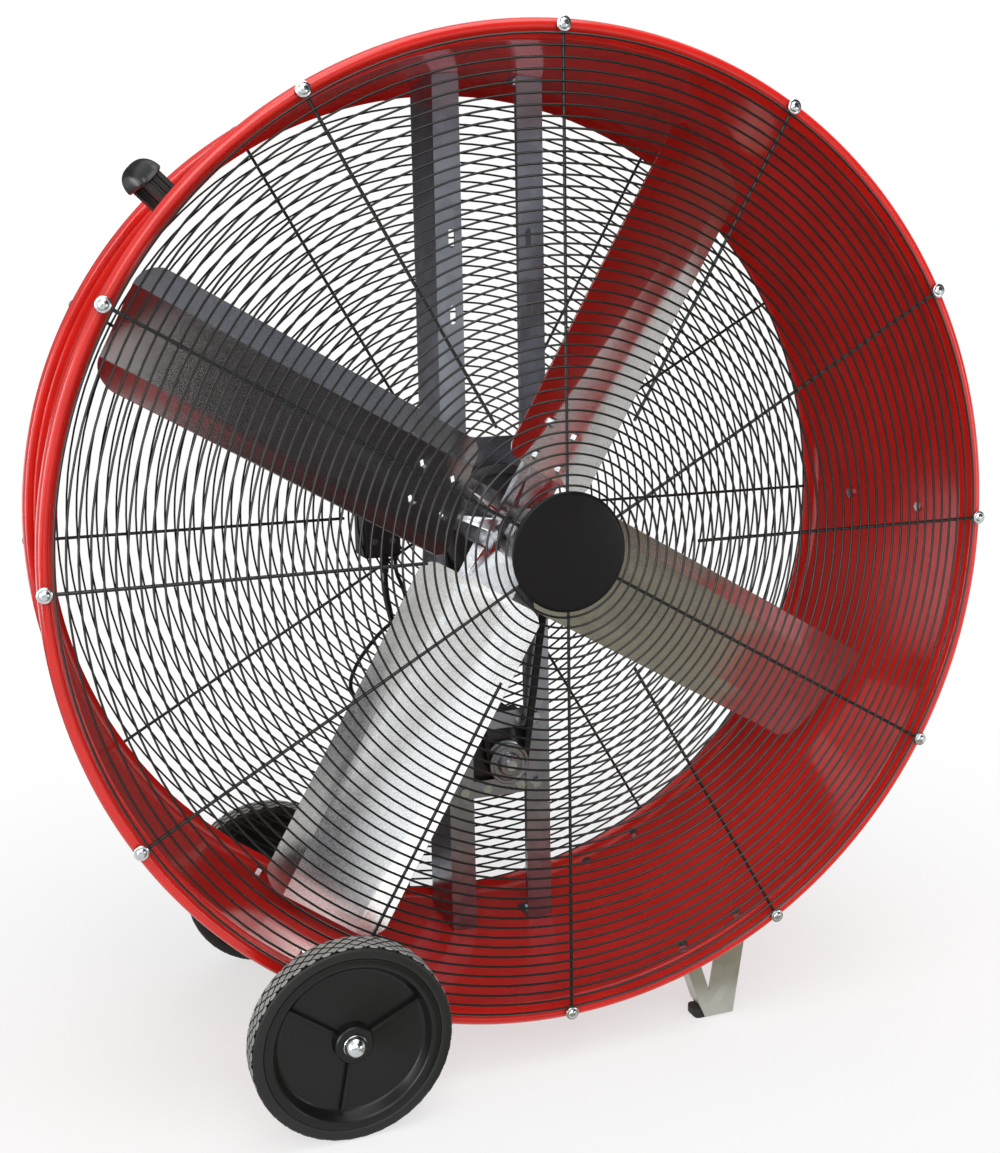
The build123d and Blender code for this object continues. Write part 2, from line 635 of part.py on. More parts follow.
def rear_plate():
    """Channel between the struts' webs that carries the rear bearing."""
    depth = STRUT_FLANGE
    outer = make_face(Polyline(
        (-plate_half, REAR_PLATE_Y - depth), (-plate_half, REAR_PLATE_Y + PLATE_T),
        (plate_half, REAR_PLATE_Y + PLATE_T), (plate_half, REAR_PLATE_Y - depth),
        (plate_half - STRUT_T, REAR_PLATE_Y - depth), (plate_half - STRUT_T, REAR_PLATE_Y),
        (-plate_half + STRUT_T, REAR_PLATE_Y), (-plate_half + STRUT_T, REAR_PLATE_Y - depth),
        close=True))
    height = BEARING_PLATE_H * 0.56
    plate = Pos(0, 0, -height / 2) * extrude(outer, height)
    plate -= bar_y(SHAFT_R + 6, REAR_PLATE_Y - 1, REAR_PLATE_Y + PLATE_T + 1)
    return drilled(plate, bearing_bolt_spots, BOLT_R + HOLE_CLEARANCE,
                   REAR_PLATE_Y - 1, REAR_PLATE_Y + PLATE_T + 1)


def bearing():
    """Four-bolt flange bearing, flange on y = 0, its barrel towards +Y."""
    flange = Rot(90, 0, 0) * extrude(RectangleRounded(BEARING_SIDE, BEARING_SIDE, 12), -BEARING_FLANGE_T)
    barrel = bar_y(BEARING_R, 0, BEARING_L)
    body = flange + barrel - bar_y(SHAFT_R + RUNNING_GAP, -1, BEARING_L + 1)
    return drilled(body, bearing_bolt_spots, BOLT_R + HOLE_CLEARANCE, -1, BEARING_FLANGE_T + 1)


parts["bearing_plate_front"] = placed(front_plate())
parts["bearing_plate_rear"] = placed(rear_plate())
parts["bearing_front"] = placed(bearing(), y=front_plate_y + PLATE_T)
parts["bearing_rear"] = placed(Rot(0, 0, 180) * bearing(), y=REAR_PLATE_Y)
front_stack = front_plate_y + PLATE_T + BEARING_FLANGE_T
parts["bearing_bolts"] = placed(group(
    bolts_along_y(bearing_bolt_spots, front_plate_y, front_stack)
    + bolts_along_y(bearing_bolt_spots, REAR_PLATE_Y - BEARING_FLANGE_T, REAR_PLATE_Y + PLATE_T)))


# ---------------------------------------------------------------- motor
strap_spots = [(side * SLOT_X, -rise) for rise in SLOT_RISES for side in (-1, 1)]
strap_y = front_plate_y
strap_back = strap_y + PLATE_T
motor_ear_spots = [(MOTOR_X + side * EAR_X, -rise) for rise in SLOT_RISES for side in (-1, 1)]
MOTOR_BODY_FRONT = MOTOR_FRONT_Y + BELL_L
MOTOR_BODY_REAR = MOTOR_REAR_Y - BELL_L


def motor_straps():
    """Two cross straps behind the struts' flanges, bolted through the slots."""
    straps = []
    for rise in SLOT_RISES:
        strap = block(-plate_half, plate_half, strap_y, strap_back, -rise - STRAP_W / 2, -rise + STRAP_W / 2)
        straps.append(drilled(strap, strap_spots + motor_ear_spots, BOLT_R + HOLE_CLEARANCE,
                              strap_y - 1, strap_back + 1))
    return straps


def front_bell():
    """Front end bell of the motor with four ears that reach the straps."""
    bell = turned([
        (MOTOR_SHAFT_R + RUNNING_GAP, MOTOR_FRONT_Y), (30, MOTOR_FRONT_Y), (MOTOR_R - 8, MOTOR_FRONT_Y + 8),
        (MOTOR_R, MOTOR_FRONT_Y + 14), (MOTOR_R, MOTOR_BODY_FRONT), (MOTOR_SHAFT_R + RUNNING_GAP, MOTOR_BODY_FRONT)])
    for x, z in motor_ear_spots:
        local_x, local_z = x - MOTOR_X, z + MOTOR_DROP
        ear = Pos(local_x, 0, local_z) * bar_y(EAR_R, strap_back, MOTOR_BODY_FRONT)
        bell += ear
    for x, z in motor_ear_spots:
        hole = bar_y(BOLT_R + HOLE_CLEARANCE, strap_back - 1, strap_back + 14)
        bell -= Pos(x - MOTOR_X, 0, z + MOTOR_DROP) * hole
    return bell


def rear_bell():
    """Rear end bell, closed, with the boss where the lead comes in on the left."""
    bell = turned([
        (0, MOTOR_BODY_REAR), (MOTOR_R, MOTOR_BODY_REAR), (MOTOR_R, MOTOR_REAR_Y - 12),
        (MOTOR_R - 10, MOTOR_REAR_Y), (0, MOTOR_REAR_Y)])
    return bell


parts["motor_straps"] = placed(group(motor_straps()))
parts["motor_front_bell"] = placed(front_bell(), x=MOTOR_X, z=MOTOR_H)
parts["motor_shell"] = placed(bar_y(MOTOR_R - 1.5, MOTOR_BODY_FRONT, MOTOR_BODY_REAR), x=MOTOR_X, z=MOTOR_H)
parts["motor_rear_bell"] = placed(rear_bell(), x=MOTOR_X, z=MOTOR_H)
motor_shaft_front = BELT_Y - PULLEY_W / 2 - 10
parts["motor_shaft"] = placed(
    bar_y(MOTOR_SHAFT_R, motor_shaft_front, MOTOR_BODY_FRONT - SEAT_GAP), x=MOTOR_X, z=MOTOR_H)


def ear_bolts():
    """Short bolts that hold the motor's ears to the straps."""
    made = []
    for x, z in motor_ear_spots:
        head = hexagon_y(BOLT_HEAD_R, strap_y - BOLT_HEAD_H, strap_y)
        made.append(Pos(x, 0, z) * (head + shank_y(BOLT_R, strap_y, strap_back + 12)))
    return made


strut_face_bolts = bolts_along_y(strap_spots, STRUT_FRONT_Y, strap_back)
plate_bolts = bolts_along_y(plate_bolt_spots, STRUT_FRONT_Y, front_plate_y + PLATE_T)
parts["motor_bolts"] = placed(group(ear_bolts()))
parts["strut_face_bolts"] = placed(group(strut_face_bolts + plate_bolts))


# ---------------------------------------------------------------- axle and wheels
bracket_in = WALL_OUT_R + SEAT_GAP
axle_end_y = WHEEL_FACE_Y + AXLE_END


def axle_bracket():
    """Curved base on the drum and an upright ear with the axle's hole, along +X, at y = 0."""
    base = curved_pad(bracket_in, bracket_in + BRACKET_T, BRACKET_HALF_ANGLE, -BRACKET_W / 2, BRACKET_W / 2)
    ear = make_face(Polyline(
        (bracket_in + 2, -34), (bracket_in + 2, 34), (axle_radius + 4, 17), (axle_radius + 16, 9),
        (axle_radius + 16, -9), (axle_radius + 4, -17), close=True))
    ear = Pos(0, BRACKET_T / 2, 0) * Rot(90, 0, 0) * extrude(ear, BRACKET_T)
    body = base + ear
    body -= Pos(axle_radius, 0, 0) * bar_y(AXLE_R + RUNNING_GAP, -BRACKET_W, BRACKET_W)
    for side in (-1, 1):
        drill = rod(BOLT_R + HOLE_CLEARANCE, bracket_in - 3, bracket_in + BRACKET_T + 5)
        body -= Rot(0, -side * BRACKET_BOLT_ANGLE, 0) * drill
    return body


for end, name in ((-1, "axle_bracket_front"), (1, "axle_bracket_rear")):
    parts[name] = placed(axle_bracket(), axle_angle, y=end * BRACKET_Y)
parts["bracket_bolts"] = placed(group(
    Rot(0, -angle, 0) * Pos(0, y, 0) * wall_bolt(WALL_R - SEAT_GAP, bracket_in + BRACKET_T + SEAT_GAP)
    for angle, y in bracket_bolt_spots))
parts["axle"] = placed(bar_y(AXLE_R, -axle_end_y, axle_end_y), x=wheel_x, z=WHEEL_R)

rim_outer = WHEEL_R - TREAD_T
rim_inner = rim_outer - RIM_T
half_wheel = WHEEL_W / 2
wheel_bore = AXLE_R + RUNNING_GAP


def tyre():
    """Rubber tyre about the Y axis, centred on y = 0."""
    return turned([
        (rim_outer, -half_wheel + 3), (WHEEL_R - 7, -half_wheel), (WHEEL_R, -half_wheel + 7),
        (WHEEL_R, half_wheel - 7), (WHEEL_R - 7, half_wheel), (rim_outer, half_wheel - 3)])


def wheel_disc():
    """Moulded wheel: hub, web and rim with three thin ribs on the outer side, towards -Y."""
    rim_half = half_wheel - 1
    web_front = -4.0
    web_back = web_front + WHEEL_WEB_T
    disc = turned([
        (wheel_bore, -half_wheel), (HUB_BOSS_R, -half_wheel), (HUB_BOSS_R, web_front),
        (rim_inner, web_front), (rim_inner + 4, -rim_half), (rim_outer - 0.1, -rim_half),
        (rim_outer - 0.1, rim_half), (rim_inner + 4, rim_half), (rim_inner, web_back),
        (HUB_BOSS_R, web_back), (HUB_BOSS_R, half_wheel), (wheel_bore, half_wheel)])
    for angle in RIB_ANGLES:
        rib = block(HUB_BOSS_R - 1, rim_inner + 1, web_front - 7, web_front + 1, -RIB_T / 2, RIB_T / 2)
        disc += Rot(0, -angle, 0) * rib
    return disc


def axle_cap():
    """Domed push-on cap over the axle's end, dome towards -Y, its seat on y = 0."""
    dome = turned([
        (0, -CAP_H), (0.45 * CAP_R, -CAP_H + 1.5), (0.85 * CAP_R, -CAP_H + 6), (CAP_R, -2), (CAP_R, 0),
        (0, 0)])
    return dome - bar_y(AXLE_R + RUNNING_GAP, -AXLE_END + WASHER_T, 1)


wheel_middle_y = WHEEL_FACE_Y - WHEEL_W / 2
inner_washer = bar_y(WASHER_R, 0, WASHER_T) - bar_y(AXLE_R + RUNNING_GAP, -1, WASHER_T + 1)
washers = []
caps = []
for end, name in ((-1, "front"), (1, "rear")):
    turn = Rot(0, 0, 0 if end < 0 else 180)
    parts[f"{name}_tyre"] = placed(turn * tyre(), x=wheel_x, y=end * wheel_middle_y, z=WHEEL_R)
    parts[f"{name}_wheel_disc"] = placed(turn * wheel_disc(), x=wheel_x, y=end * wheel_middle_y, z=WHEEL_R)
    outer_seat = Pos(0, end * (WHEEL_FACE_Y + SEAT_GAP), 0) * turn * Pos(0, -WASHER_T, 0)
    inner_seat = Pos(0, end * (WHEEL_FACE_Y - WHEEL_W - SEAT_GAP), 0) * turn
    washers += [outer_seat * inner_washer, inner_seat * inner_washer]
    cap_seat = WHEEL_FACE_Y + SEAT_GAP + WASHER_T
    caps.append(Pos(0, end * cap_seat, 0) * turn * axle_cap())
parts["axle_caps_and_washers"] = placed(group(caps + washers), x=wheel_x, z=WHEEL_R)


# ---------------------------------------------------------------- legs and feet
def leg():
    """Front leg: two sheet limbs that meet at the foot, with flanges and curved tabs."""
    low = LEG_BOTTOM - AXIS_H
    sheet_low = LEG_CLEARANCE - AXIS_H
    wall_z = -math.sqrt(bracket_in ** 2 - FOOT_X ** 2)

    def outline(floor, *points):
        """A flat shape from distances sideways from FOOT_X and down from the wall; None means floor."""
        spots = [(FOOT_X + x, floor if drop is None else wall_z - drop) for x, drop in points]
        return make_face(Polyline(*spots, close=True))

    right = outline(
        sheet_low, (21, -80), (68, -80), (68, -20), (52.8, 12), (36, None), (-9, None), (-3, 80))
    left = outline(
        sheet_low, (-82, -40), (-43.5, -40), (-3, 80), (8, None), (-9, None), (-19, 98), (-38, 42))
    right_flange = outline(
        low, (65, -80), (68, -80), (68, -20), (52.8, 12), (37.5, None), (34.5, None), (49.8, 12), (65, -20))
    left_flange = outline(
        low, (-82, -40), (-79, -40), (-35, 42), (-16, 98), (-8, None), (-11, None), (-19, 98), (-38, 42))
    plates = Pos(0, 0, LEG_FLANGE - LEG_T) * extrude(Sketch() + [right, left], LEG_T)
    flanges = extrude(right_flange, LEG_FLANGE) + extrude(left_flange, LEG_FLANGE)
    body = Rot(90, 0, 0) * Pos(0, 0, -LEG_FLANGE) * (plates + flanges)
    body -= bar_y(bracket_in + LEG_T / 2, -LEG_FLANGE, 2 * LEG_FLANGE)
    for angle in leg_bolt_angles:
        tab = curved_pad(bracket_in, bracket_in + LEG_T, LEG_TAB_ANGLE, 0, LEG_FLANGE)
        drill = Pos(0, LEG_FLANGE / 2, 0) * rod(BOLT_R + HOLE_CLEARANCE, bracket_in - 3, bracket_in + 12)
        body += Rot(0, -angle, 0) * tab
        body -= Rot(0, -angle, 0) * drill
    return body


front_leg = Pos(0, -LEG_FACE_Y, 0) * leg()
parts["front_leg"] = placed(front_leg)
parts["rear_leg"] = placed(mirror(front_leg, about=Plane.XZ))
parts["leg_bolts"] = placed(group(
    Rot(0, -angle, 0) * Pos(0, y, 0) * wall_bolt(WALL_R - SEAT_GAP, bracket_in + LEG_T + SEAT_GAP)
    for angle, y in leg_bolt_spots))
foot = extrude(RectangleRounded(FOOT_W, FOOT_D, FOOT_ROUND), LEG_BOTTOM)
foot_y = LEG_FACE_Y - LEG_T - SEAT_GAP - FOOT_D / 2
parts["front_foot"] = Pos(FOOT_X + FOOT_SHIFT, -foot_y, 0) * foot
parts["rear_foot"] = Pos(FOOT_X + FOOT_SHIFT, foot_y, 0) * foot


# ---------------------------------------------------------------- handle
def grip():
    """Arched hand grip along Y over the two posts."""
    half = GRIP_L / 2
    arch = make_face(Polyline(
        (GRIP_R, -half + 8), (GRIP_R, half - 8), (GRIP_R - 5, half - 4), (GRIP_R - 2, half),
        (GRIP_R + 0.5 * GRIP_H, half), (GRIP_R + GRIP_H, half - 26), (GRIP_R + GRIP_H, -half + 26),
        (GRIP_R + 0.5 * GRIP_H, -half), (GRIP_R - 2, -half), (GRIP_R - 5, -half + 4), close=True))
    body = extrude(arch, GRIP_W / 2, both=True)
    crown = body.edges().group_by(Axis.X)[-1].filter_by(Axis.Y)
    return fillet(crown, 9.0)


post_foot = bracket_in
handle_posts = []
for side in (-1, 1):
    post = block(post_foot + SEAT_GAP, GRIP_R, -POST_D / 2, POST_D / 2, -POST_W / 2, POST_W / 2)
    post -= rod(BOLT_R + RUNNING_GAP, post_foot - 1, post_foot + 24)
    handle_posts.append(Pos(0, HANDLE_Y + side * HANDLE_SPAN / 2, 0) * post)
parts["handle_grip"] = placed(Pos(0, HANDLE_Y, 0) * grip(), HANDLE_ANGLE)
parts["handle_posts"] = placed(group(handle_posts), HANDLE_ANGLE)
handle_bolts = []
for side in (-1, 1):
    head = hexagon_x(BOLT_HEAD_R, WALL_R - SEAT_GAP - BOLT_HEAD_H, WALL_R - SEAT_GAP)
    shank = shank_x(WALL_R - SEAT_GAP, post_foot + 22)
    handle_bolts.append(Pos(0, HANDLE_Y + side * HANDLE_SPAN / 2, 0) * (head + shank))
parts["handle_bolts"] = placed(group(handle_bolts), HANDLE_ANGLE)


# ---------------------------------------------------------------- switch box on the rear guard
box_front = REAR_Y + GUARD_DEPTH
box_back = box_front + BOX_DEPTH
box_top = BOX_BOTTOM + BOX_H
box_mid_z = (BOX_BOTTOM + box_top) / 2
switch_y = box_back + COVER_T


def switch_box():
    """Open-backed box behind the rear guard."""
    body = block(-BOX_W / 2, BOX_W / 2, box_front, box_back, -BOX_H / 2, BOX_H / 2)
    body = fillet(body.edges().filter_by(Axis.Y), 5)
    return body - block(-BOX_W / 2 + BOX_WALL, BOX_W / 2 - BOX_WALL, box_front + BOX_WALL, box_back + 1,
                        -BOX_H / 2 + BOX_WALL, BOX_H / 2 - BOX_WALL)


def switch_cover():
    """Cover plate with the hole of the switch's stem."""
    plate = Rot(90, 0, 0) * extrude(RectangleRounded(BOX_W, BOX_H, 5), -COVER_T)
    return plate - bar_y(KNOB_STEM_R + RUNNING_GAP, -1, COVER_T + 1)


def switch_knob():
    """Speed knob with a pointer ridge and its stem, cover face on y = 0."""
    grip_part = turned([
        (0, 0.6), (KNOB_R, 0.6), (KNOB_R, 5), (KNOB_R - 3, KNOB_L), (0, KNOB_L)])
    ridge = block(-2, 2, KNOB_L - 1, KNOB_L + 3, -KNOB_R + 4, KNOB_R - 4)
    stem = bar_y(KNOB_STEM_R, -COVER_T - 12, 1)
    return grip_part + ridge + stem


clamp_half_h = BOX_H / 2 - 6
clamp_plate = block(-BOX_W / 2 + 2, BOX_W / 2 - 2, REAR_Y - CLAMP_T, REAR_Y, -clamp_half_h, clamp_half_h)
clamp_spots = [(-14.0, -26.0), (14.0, -26.0), (-14.0, 30.0), (14.0, 30.0)]
screw_hole_r = SCREW_R + SCREW_CLEARANCE
box_body = drilled(switch_box(), clamp_spots, screw_hole_r, box_front - 1, box_front + BOX_WALL + 1)
clamp_plate = drilled(clamp_plate, clamp_spots, screw_hole_r, REAR_Y - CLAMP_T - 1, REAR_Y + 1)
clamp_screws = []
for x, z in clamp_spots:
    screw = hexagon_y(5.5, REAR_Y - CLAMP_T - 3.5, REAR_Y - CLAMP_T)
    screw += shank_y(SCREW_R, REAR_Y - CLAMP_T, box_front + BOX_WALL + 6)
    clamp_screws.append(Pos(x, 0, z) * screw)
parts["switch_box"] = placed(box_body, x=BOX_X, z=box_mid_z)
parts["switch_cover"] = placed(switch_cover(), x=BOX_X, y=box_back, z=box_mid_z)
parts["speed_knob"] = placed(switch_knob(), x=BOX_X, y=switch_y, z=box_mid_z)
parts["clamp_plate"] = placed(clamp_plate, x=BOX_X, z=box_mid_z)
parts["clamp_screws"] = placed(group(clamp_screws), x=BOX_X, z=box_mid_z)


# ---------------------------------------------------------------- cords
def corner_radii(points):
    """Radius of each corner: 0.45 of its shorter run over the tangent of half its turn."""
    radii = []
    for before, here, after in zip(points, points[1:], points[2:]):
        run_in, run_out = here - before, after - here
        half_turn = math.radians(run_in.get_angle(run_out)) / 2
        radii.append(0.45 * min(run_in.length, run_out.length) / math.tan(half_turn))
    return radii


def cord_tube(name, route, diameter, sides=CORD_SIDES):
    """A faceted tube along straight runs joined by tangent arcs."""
    points = [Vector(*p) for p in route]
    radii = corner_radii(points)
    path = FilletPolyline(*points, radius=radii)
    start = path.edges()[0]
    section_plane = Plane(origin=start @ 0, z_dir=start % 0)
    section = section_plane * RegularPolygon(diameter / 2, sides)
    tube = sweep(section, path=path)
    expected = section.area * path.length
    print(name, "length", round(path.length), "least radius", round(min(radii), 1),
          "volume ratio", round(tube.volume / expected, 4))
    return tube


relief_x, relief_y = BOX_X + 10.0, box_front + 21.6
relief_end = BOX_BOTTOM - RELIEF_L
floor_z = CORD_D / 2
coil_outer_r = COIL_INNER_R + COIL_PITCH * (COIL_HALF_TURNS + 1) / 2
coil_start = Vector(COIL_X - coil_outer_r, COIL_Y, floor_z)

# The free cord hangs from the box behind the rear guard, bends on to the floor and runs to its coil.
power_route = [
    (relief_x, relief_y, relief_end),
    (relief_x, relief_y, relief_end - 30),
    (-111, 232.5, 540),
    (-103, 233, 480),
    (-99, 234, 405),
    (-101, 233, 325),
    (-99, 235, 245),
    (-95, 236, 170),
    (-98, 237, 105),
    (-97, 237.5, 66),
    (-96, 238, 39.3),
    (-83, 238.5, 16.8),
    (-60.5, 239, floor_z),
    (-18, 243.5, floor_z),
    (coil_start.X - 35.5, coil_start.Y - 69, floor_z),
    (coil_start.X - 13, coil_start.Y - 56, floor_z),
    (coil_start.X, coil_start.Y - 33.5, floor_z),
    (coil_start.X, coil_start.Y - CORD_D, floor_z),
]
relief = extrude(Circle(CORD_D / 2 + 1.2), RELIEF_L, taper=-3)
parts["strain_relief"] = Pos(relief_x, relief_y, relief_end) * relief
power_tube = cord_tube("power_cord", power_route, CORD_D)
parts["power_cord"] = power_tube


def coil_path():
    """Two flat layers of half turns: in on the floor, up at the middle, out again on top."""
    here = coil_start
    away = 1
    edges = [Line(here - Vector(0, CORD_D, 0), here).edge()]
    reach = 2 * coil_outer_r
    for step in range(2 * COIL_HALF_TURNS + 1):
        inwards = step <= COIL_HALF_TURNS
        reach += -COIL_PITCH / 2 if inwards else COIL_PITCH / 2
        rise = COIL_RISE if step == COIL_HALF_TURNS else 0
        there = here + Vector(away * reach, 0, rise)
        chord = there - here
        middle = here + chord * 0.5 + Vector(0, away * chord.length / 2, 0)
        edges.append(TangentArc(here, middle, tangent=(0, away, 0)).edge())
        edges.append(TangentArc(middle, there, tangent=chord.normalized()).edge())
        reach += -COIL_PITCH / 2 if step < COIL_HALF_TURNS else COIL_PITCH / 2
        here, away = there, -away
    tail = Vector(0, away * PLUG_TAIL_L, 0)
    edges.append(Line(here, here + tail).edge())
    return Wire(edges), here + tail, away


coil_wire, coil_end, coil_heading = coil_path()
coil_section = Plane(origin=coil_wire @ 0, z_dir=coil_wire % 0) * RegularPolygon(CORD_D / 2, CORD_SIDES)
coil_tube = sweep(coil_section, path=coil_wire)
print("cord_coil length", round(coil_wire.length), "volume ratio",
      round(coil_tube.volume / (coil_section.area * coil_wire.length), 4))


def least_gap_to_itself(wire, diameter, samples=900):
    """Least gap between stretches of the tube that are over a third of a turn apart."""
    spots = [wire @ (k / samples) for k in range(samples + 1)]
    apart = int(samples * 2 * COIL_INNER_R / wire.length)
    least = min(
        (spots[i] - spots[j]).length
        for i in range(0, samples, 2)
        for j in range(i + apart, samples + 1))
    return least - diameter


print("cord_coil least gap", round(least_gap_to_itself(coil_wire, CORD_D), 2))
parts["cord_coil"] = coil_tube


def plug():
    """Three-pin plug along +Z: tapered neck, round body, two flat pins and a round one."""
    neck = extrude(Circle(CORD_D / 2), PLUG_NECK_L, taper=-8)
    body = Pos(0, 0, PLUG_NECK_L - 1) * extrude(Circle(PLUG_R) - Pos(0, PLUG_R + 8) * Circle(10), PLUG_L)
    pins = [
        Pos(side * 6.35, 0, PLUG_NECK_L + PLUG_L - 1) * extrude(Rectangle(1.6, 6.4), 17)
        for side in (-1, 1)
    ]
    round_pin = Pos(0, -8, PLUG_NECK_L + PLUG_L - 1) * extrude(Circle(2.4), 20)
    return neck + body + pins + round_pin


parts["plug"] = Plane(origin=coil_end, x_dir=(1, 0, 0), z_dir=(0, coil_heading, 0)) * plug()

# The motor's lead leaves the box's underside, hangs in one slack loop behind the rear guard,
# passes between the guard's wires and enters the back of the motor.
lead_x, lead_y = BOX_X + 23.0, box_front + 9.6
lead_start = BOX_BOTTOM - GROMMET_H
grommet_x, grommet_z = MOTOR_X - 38.0, MOTOR_H + 21.7
grommet_end = MOTOR_REAR_Y + GROMMET_H
lead_route = [
    (lead_x, lead_y, lead_start),
    (lead_x, lead_y, lead_start - 18),
    (-97, 219.5, 592),
    (-89, 219.5, 565),
    (-104, 219.5, 540),
    (-129, 219.5, 524),
    (-152, 219.5, 501),
    (-173, 219.5, 474),
    (-185, 219.5, 447),
    (-182, 219.5, 427),
    (-168, 219.5, 412),
    (-148, 219.5, 411),
    (-129, 219.5, 417),
    (-104, 220, 412),
    (-76, 220, 395),
    (-50.8, 220, 378.9),
    (grommet_x - 6.9, grommet_end + 27, grommet_z + 4.1),
    (grommet_x, grommet_end + 13.1, grommet_z),
    (grommet_x, grommet_end, grommet_z),
]
lead_tube = cord_tube("motor_lead", lead_route, LEAD_D, LEAD_SIDES)
parts["motor_lead"] = lead_tube
box_grommet = Pos(lead_x, lead_y, lead_start) * extrude(Circle(GROMMET_R), GROMMET_H)
motor_grommet = Pos(grommet_x, 0, grommet_z) * bar_y(GROMMET_R, MOTOR_REAR_Y, grommet_end)
parts["lead_grommets"] = group([box_grommet, motor_grommet])

for node, shape in parts.items():
    export_step(shape if isinstance(shape, Compound) else Compound(children=shape.solids()), f"parts/{node}.step")
print(len(parts), "nodes")
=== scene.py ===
# %% [markdown]
# # A portable drum fan
#
# The real fan is a rolled red drum with a welded wire guard on each side, four sheet blades on
# a belt drive, two wheels, two legs and a cord. Its sizes come from a measured model of every
# rigid part. This lesson loads that model first and never moves it. It then gives each part its
# finish, and builds finer versions of what the eye rests on: the guards, the drum, the wheels.
# Everything is in metres, with Z up and the front guard facing -Y.

# %% Load the measured frame
import json
import math

import bmesh
import bpy
from mathutils import Matrix, Vector


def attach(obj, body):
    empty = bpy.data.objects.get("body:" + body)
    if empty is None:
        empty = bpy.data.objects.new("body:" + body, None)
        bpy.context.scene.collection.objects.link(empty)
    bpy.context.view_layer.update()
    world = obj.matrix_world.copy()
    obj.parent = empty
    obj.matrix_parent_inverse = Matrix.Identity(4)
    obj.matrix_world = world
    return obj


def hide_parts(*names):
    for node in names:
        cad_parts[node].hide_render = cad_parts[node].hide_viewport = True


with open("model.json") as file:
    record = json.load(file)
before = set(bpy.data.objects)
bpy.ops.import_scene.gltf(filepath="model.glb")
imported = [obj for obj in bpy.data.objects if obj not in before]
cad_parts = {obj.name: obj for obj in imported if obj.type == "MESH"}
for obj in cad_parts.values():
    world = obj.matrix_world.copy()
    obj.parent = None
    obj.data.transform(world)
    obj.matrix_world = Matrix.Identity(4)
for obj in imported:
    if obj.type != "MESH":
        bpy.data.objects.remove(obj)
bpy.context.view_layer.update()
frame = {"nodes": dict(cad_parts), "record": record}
MM = 0.001
AXIS_H = 0.703                     # height of the drum's axis
body_of = {node: body for body, nodes in frame["record"]["behaviour"]["bodies"].items()
           for node in nodes}
slot_of = {part["node"]: part["material_slot"] for part in frame["record"]["subparts"]}

# %% [markdown]
# ## The camera
#
# The photograph was taken from the front left, a little above the drum's middle, with the
# camera tilted by one degree. A camera's matrix holds its right, up and backward directions as
# columns, so those are worked out from the three angles. The lens follows from how large the
# two rims and both wheels are in the picture.

# %% Place the camera
AZIMUTH, ELEVATION, ROLL = -20.3448, 10.9910, -1.0274      # degrees
CAMERA_PLACE = (-0.6927, -1.8240, 1.0139)
LENS, SENSOR_WIDTH = 43.81, 36.0                           # millimetres
azimuth, elevation, roll = (math.radians(a) for a in (AZIMUTH, ELEVATION, ROLL))
back = Vector((math.sin(azimuth) * math.cos(elevation), -math.cos(azimuth) * math.cos(elevation),
               math.sin(elevation)))
level = Vector((math.cos(azimuth), math.sin(azimuth), 0.0))
upright = back.cross(level)
right = level * math.cos(roll) + upright * math.sin(roll)
up = upright * math.cos(roll) - level * math.sin(roll)
camera_data = bpy.data.cameras.new("photo_camera")
camera_data.lens = LENS
camera_data.sensor_width = SENSOR_WIDTH
camera = bpy.data.objects.new("photo_camera", camera_data)
camera.matrix_world = Matrix((
    (right.x, up.x, back.x, CAMERA_PLACE[0]),
    (right.y, up.y, back.y, CAMERA_PLACE[1]),
    (right.z, up.z, back.z, CAMERA_PLACE[2]),
    (0.0, 0.0, 0.0, 1.0)))
bpy.context.scene.collection.objects.link(camera)
bpy.context.scene.camera = camera
print("camera at", [round(v, 3) for v in camera.matrix_world.translation])

# %% [markdown]
# ## Shared surface effects
#
# A finish is never one flat colour. Paint is a little uneven, zinc grows in patches, rubber has a
# fine grain. Effects that several materials use are shader node groups with named inputs, built
# once. Each takes a position on the piece and gives back a value, a colour or a normal.

# %% Helpers for nodes, and the group for unevenness
def add(tree, kind, **settings):
    """A new shader node of a kind, such as Math, with its settings."""
    node = tree.nodes.new("ShaderNode" + kind)
    for title, value in settings.items():
        setattr(node, title, value)
    return node


def connect(tree, *wires):
    """Links nodes. A wire is a node, its output's name, another node and its input's name."""
    for source, output, target, socket in wires:
        tree.links.new(source.outputs[output], target.inputs[socket])


def new_group(name, inputs, outputs):
    """An empty shader node group with its sockets, and its two end nodes."""
    group = bpy.data.node_groups.new(name, "ShaderNodeTree")
    for title, kind, value in inputs:
        socket = group.interface.new_socket(title, in_out="INPUT", socket_type=kind)
        if value is not None:
            socket.default_value = value
    for title, kind in outputs:
        group.interface.new_socket(title, in_out="OUTPUT", socket_type=kind)
    return group, group.nodes.new("NodeGroupInput"), group.nodes.new("NodeGroupOutput")


def make_uneven():
    """Cloudy values between Low and High."""
    group, start, end = new_group("uneven", [
        ("Place", "NodeSocketVector", None), ("Scale", "NodeSocketFloat", 5.0),
        ("Low", "NodeSocketFloat", 0.0), ("High", "NodeSocketFloat", 1.0)],
        [("Value", "NodeSocketFloat")])
    noise = add(group, "TexNoise")
    noise.inputs["Detail"].default_value = 5.0
    spread = add(group, "MapRange")
    spread.inputs["From Min"].default_value = 0.33
    spread.inputs["From Max"].default_value = 0.67
    connect(group, (start, "Place", noise, "Vector"), (start, "Scale", noise, "Scale"),
            (noise, "Fac", spread, "Value"), (start, "Low", spread, "To Min"),
            (start, "High", spread, "To Max"), (spread, "Result", end, "Value"))
    return group


uneven = make_uneven()
print("group", uneven.name)


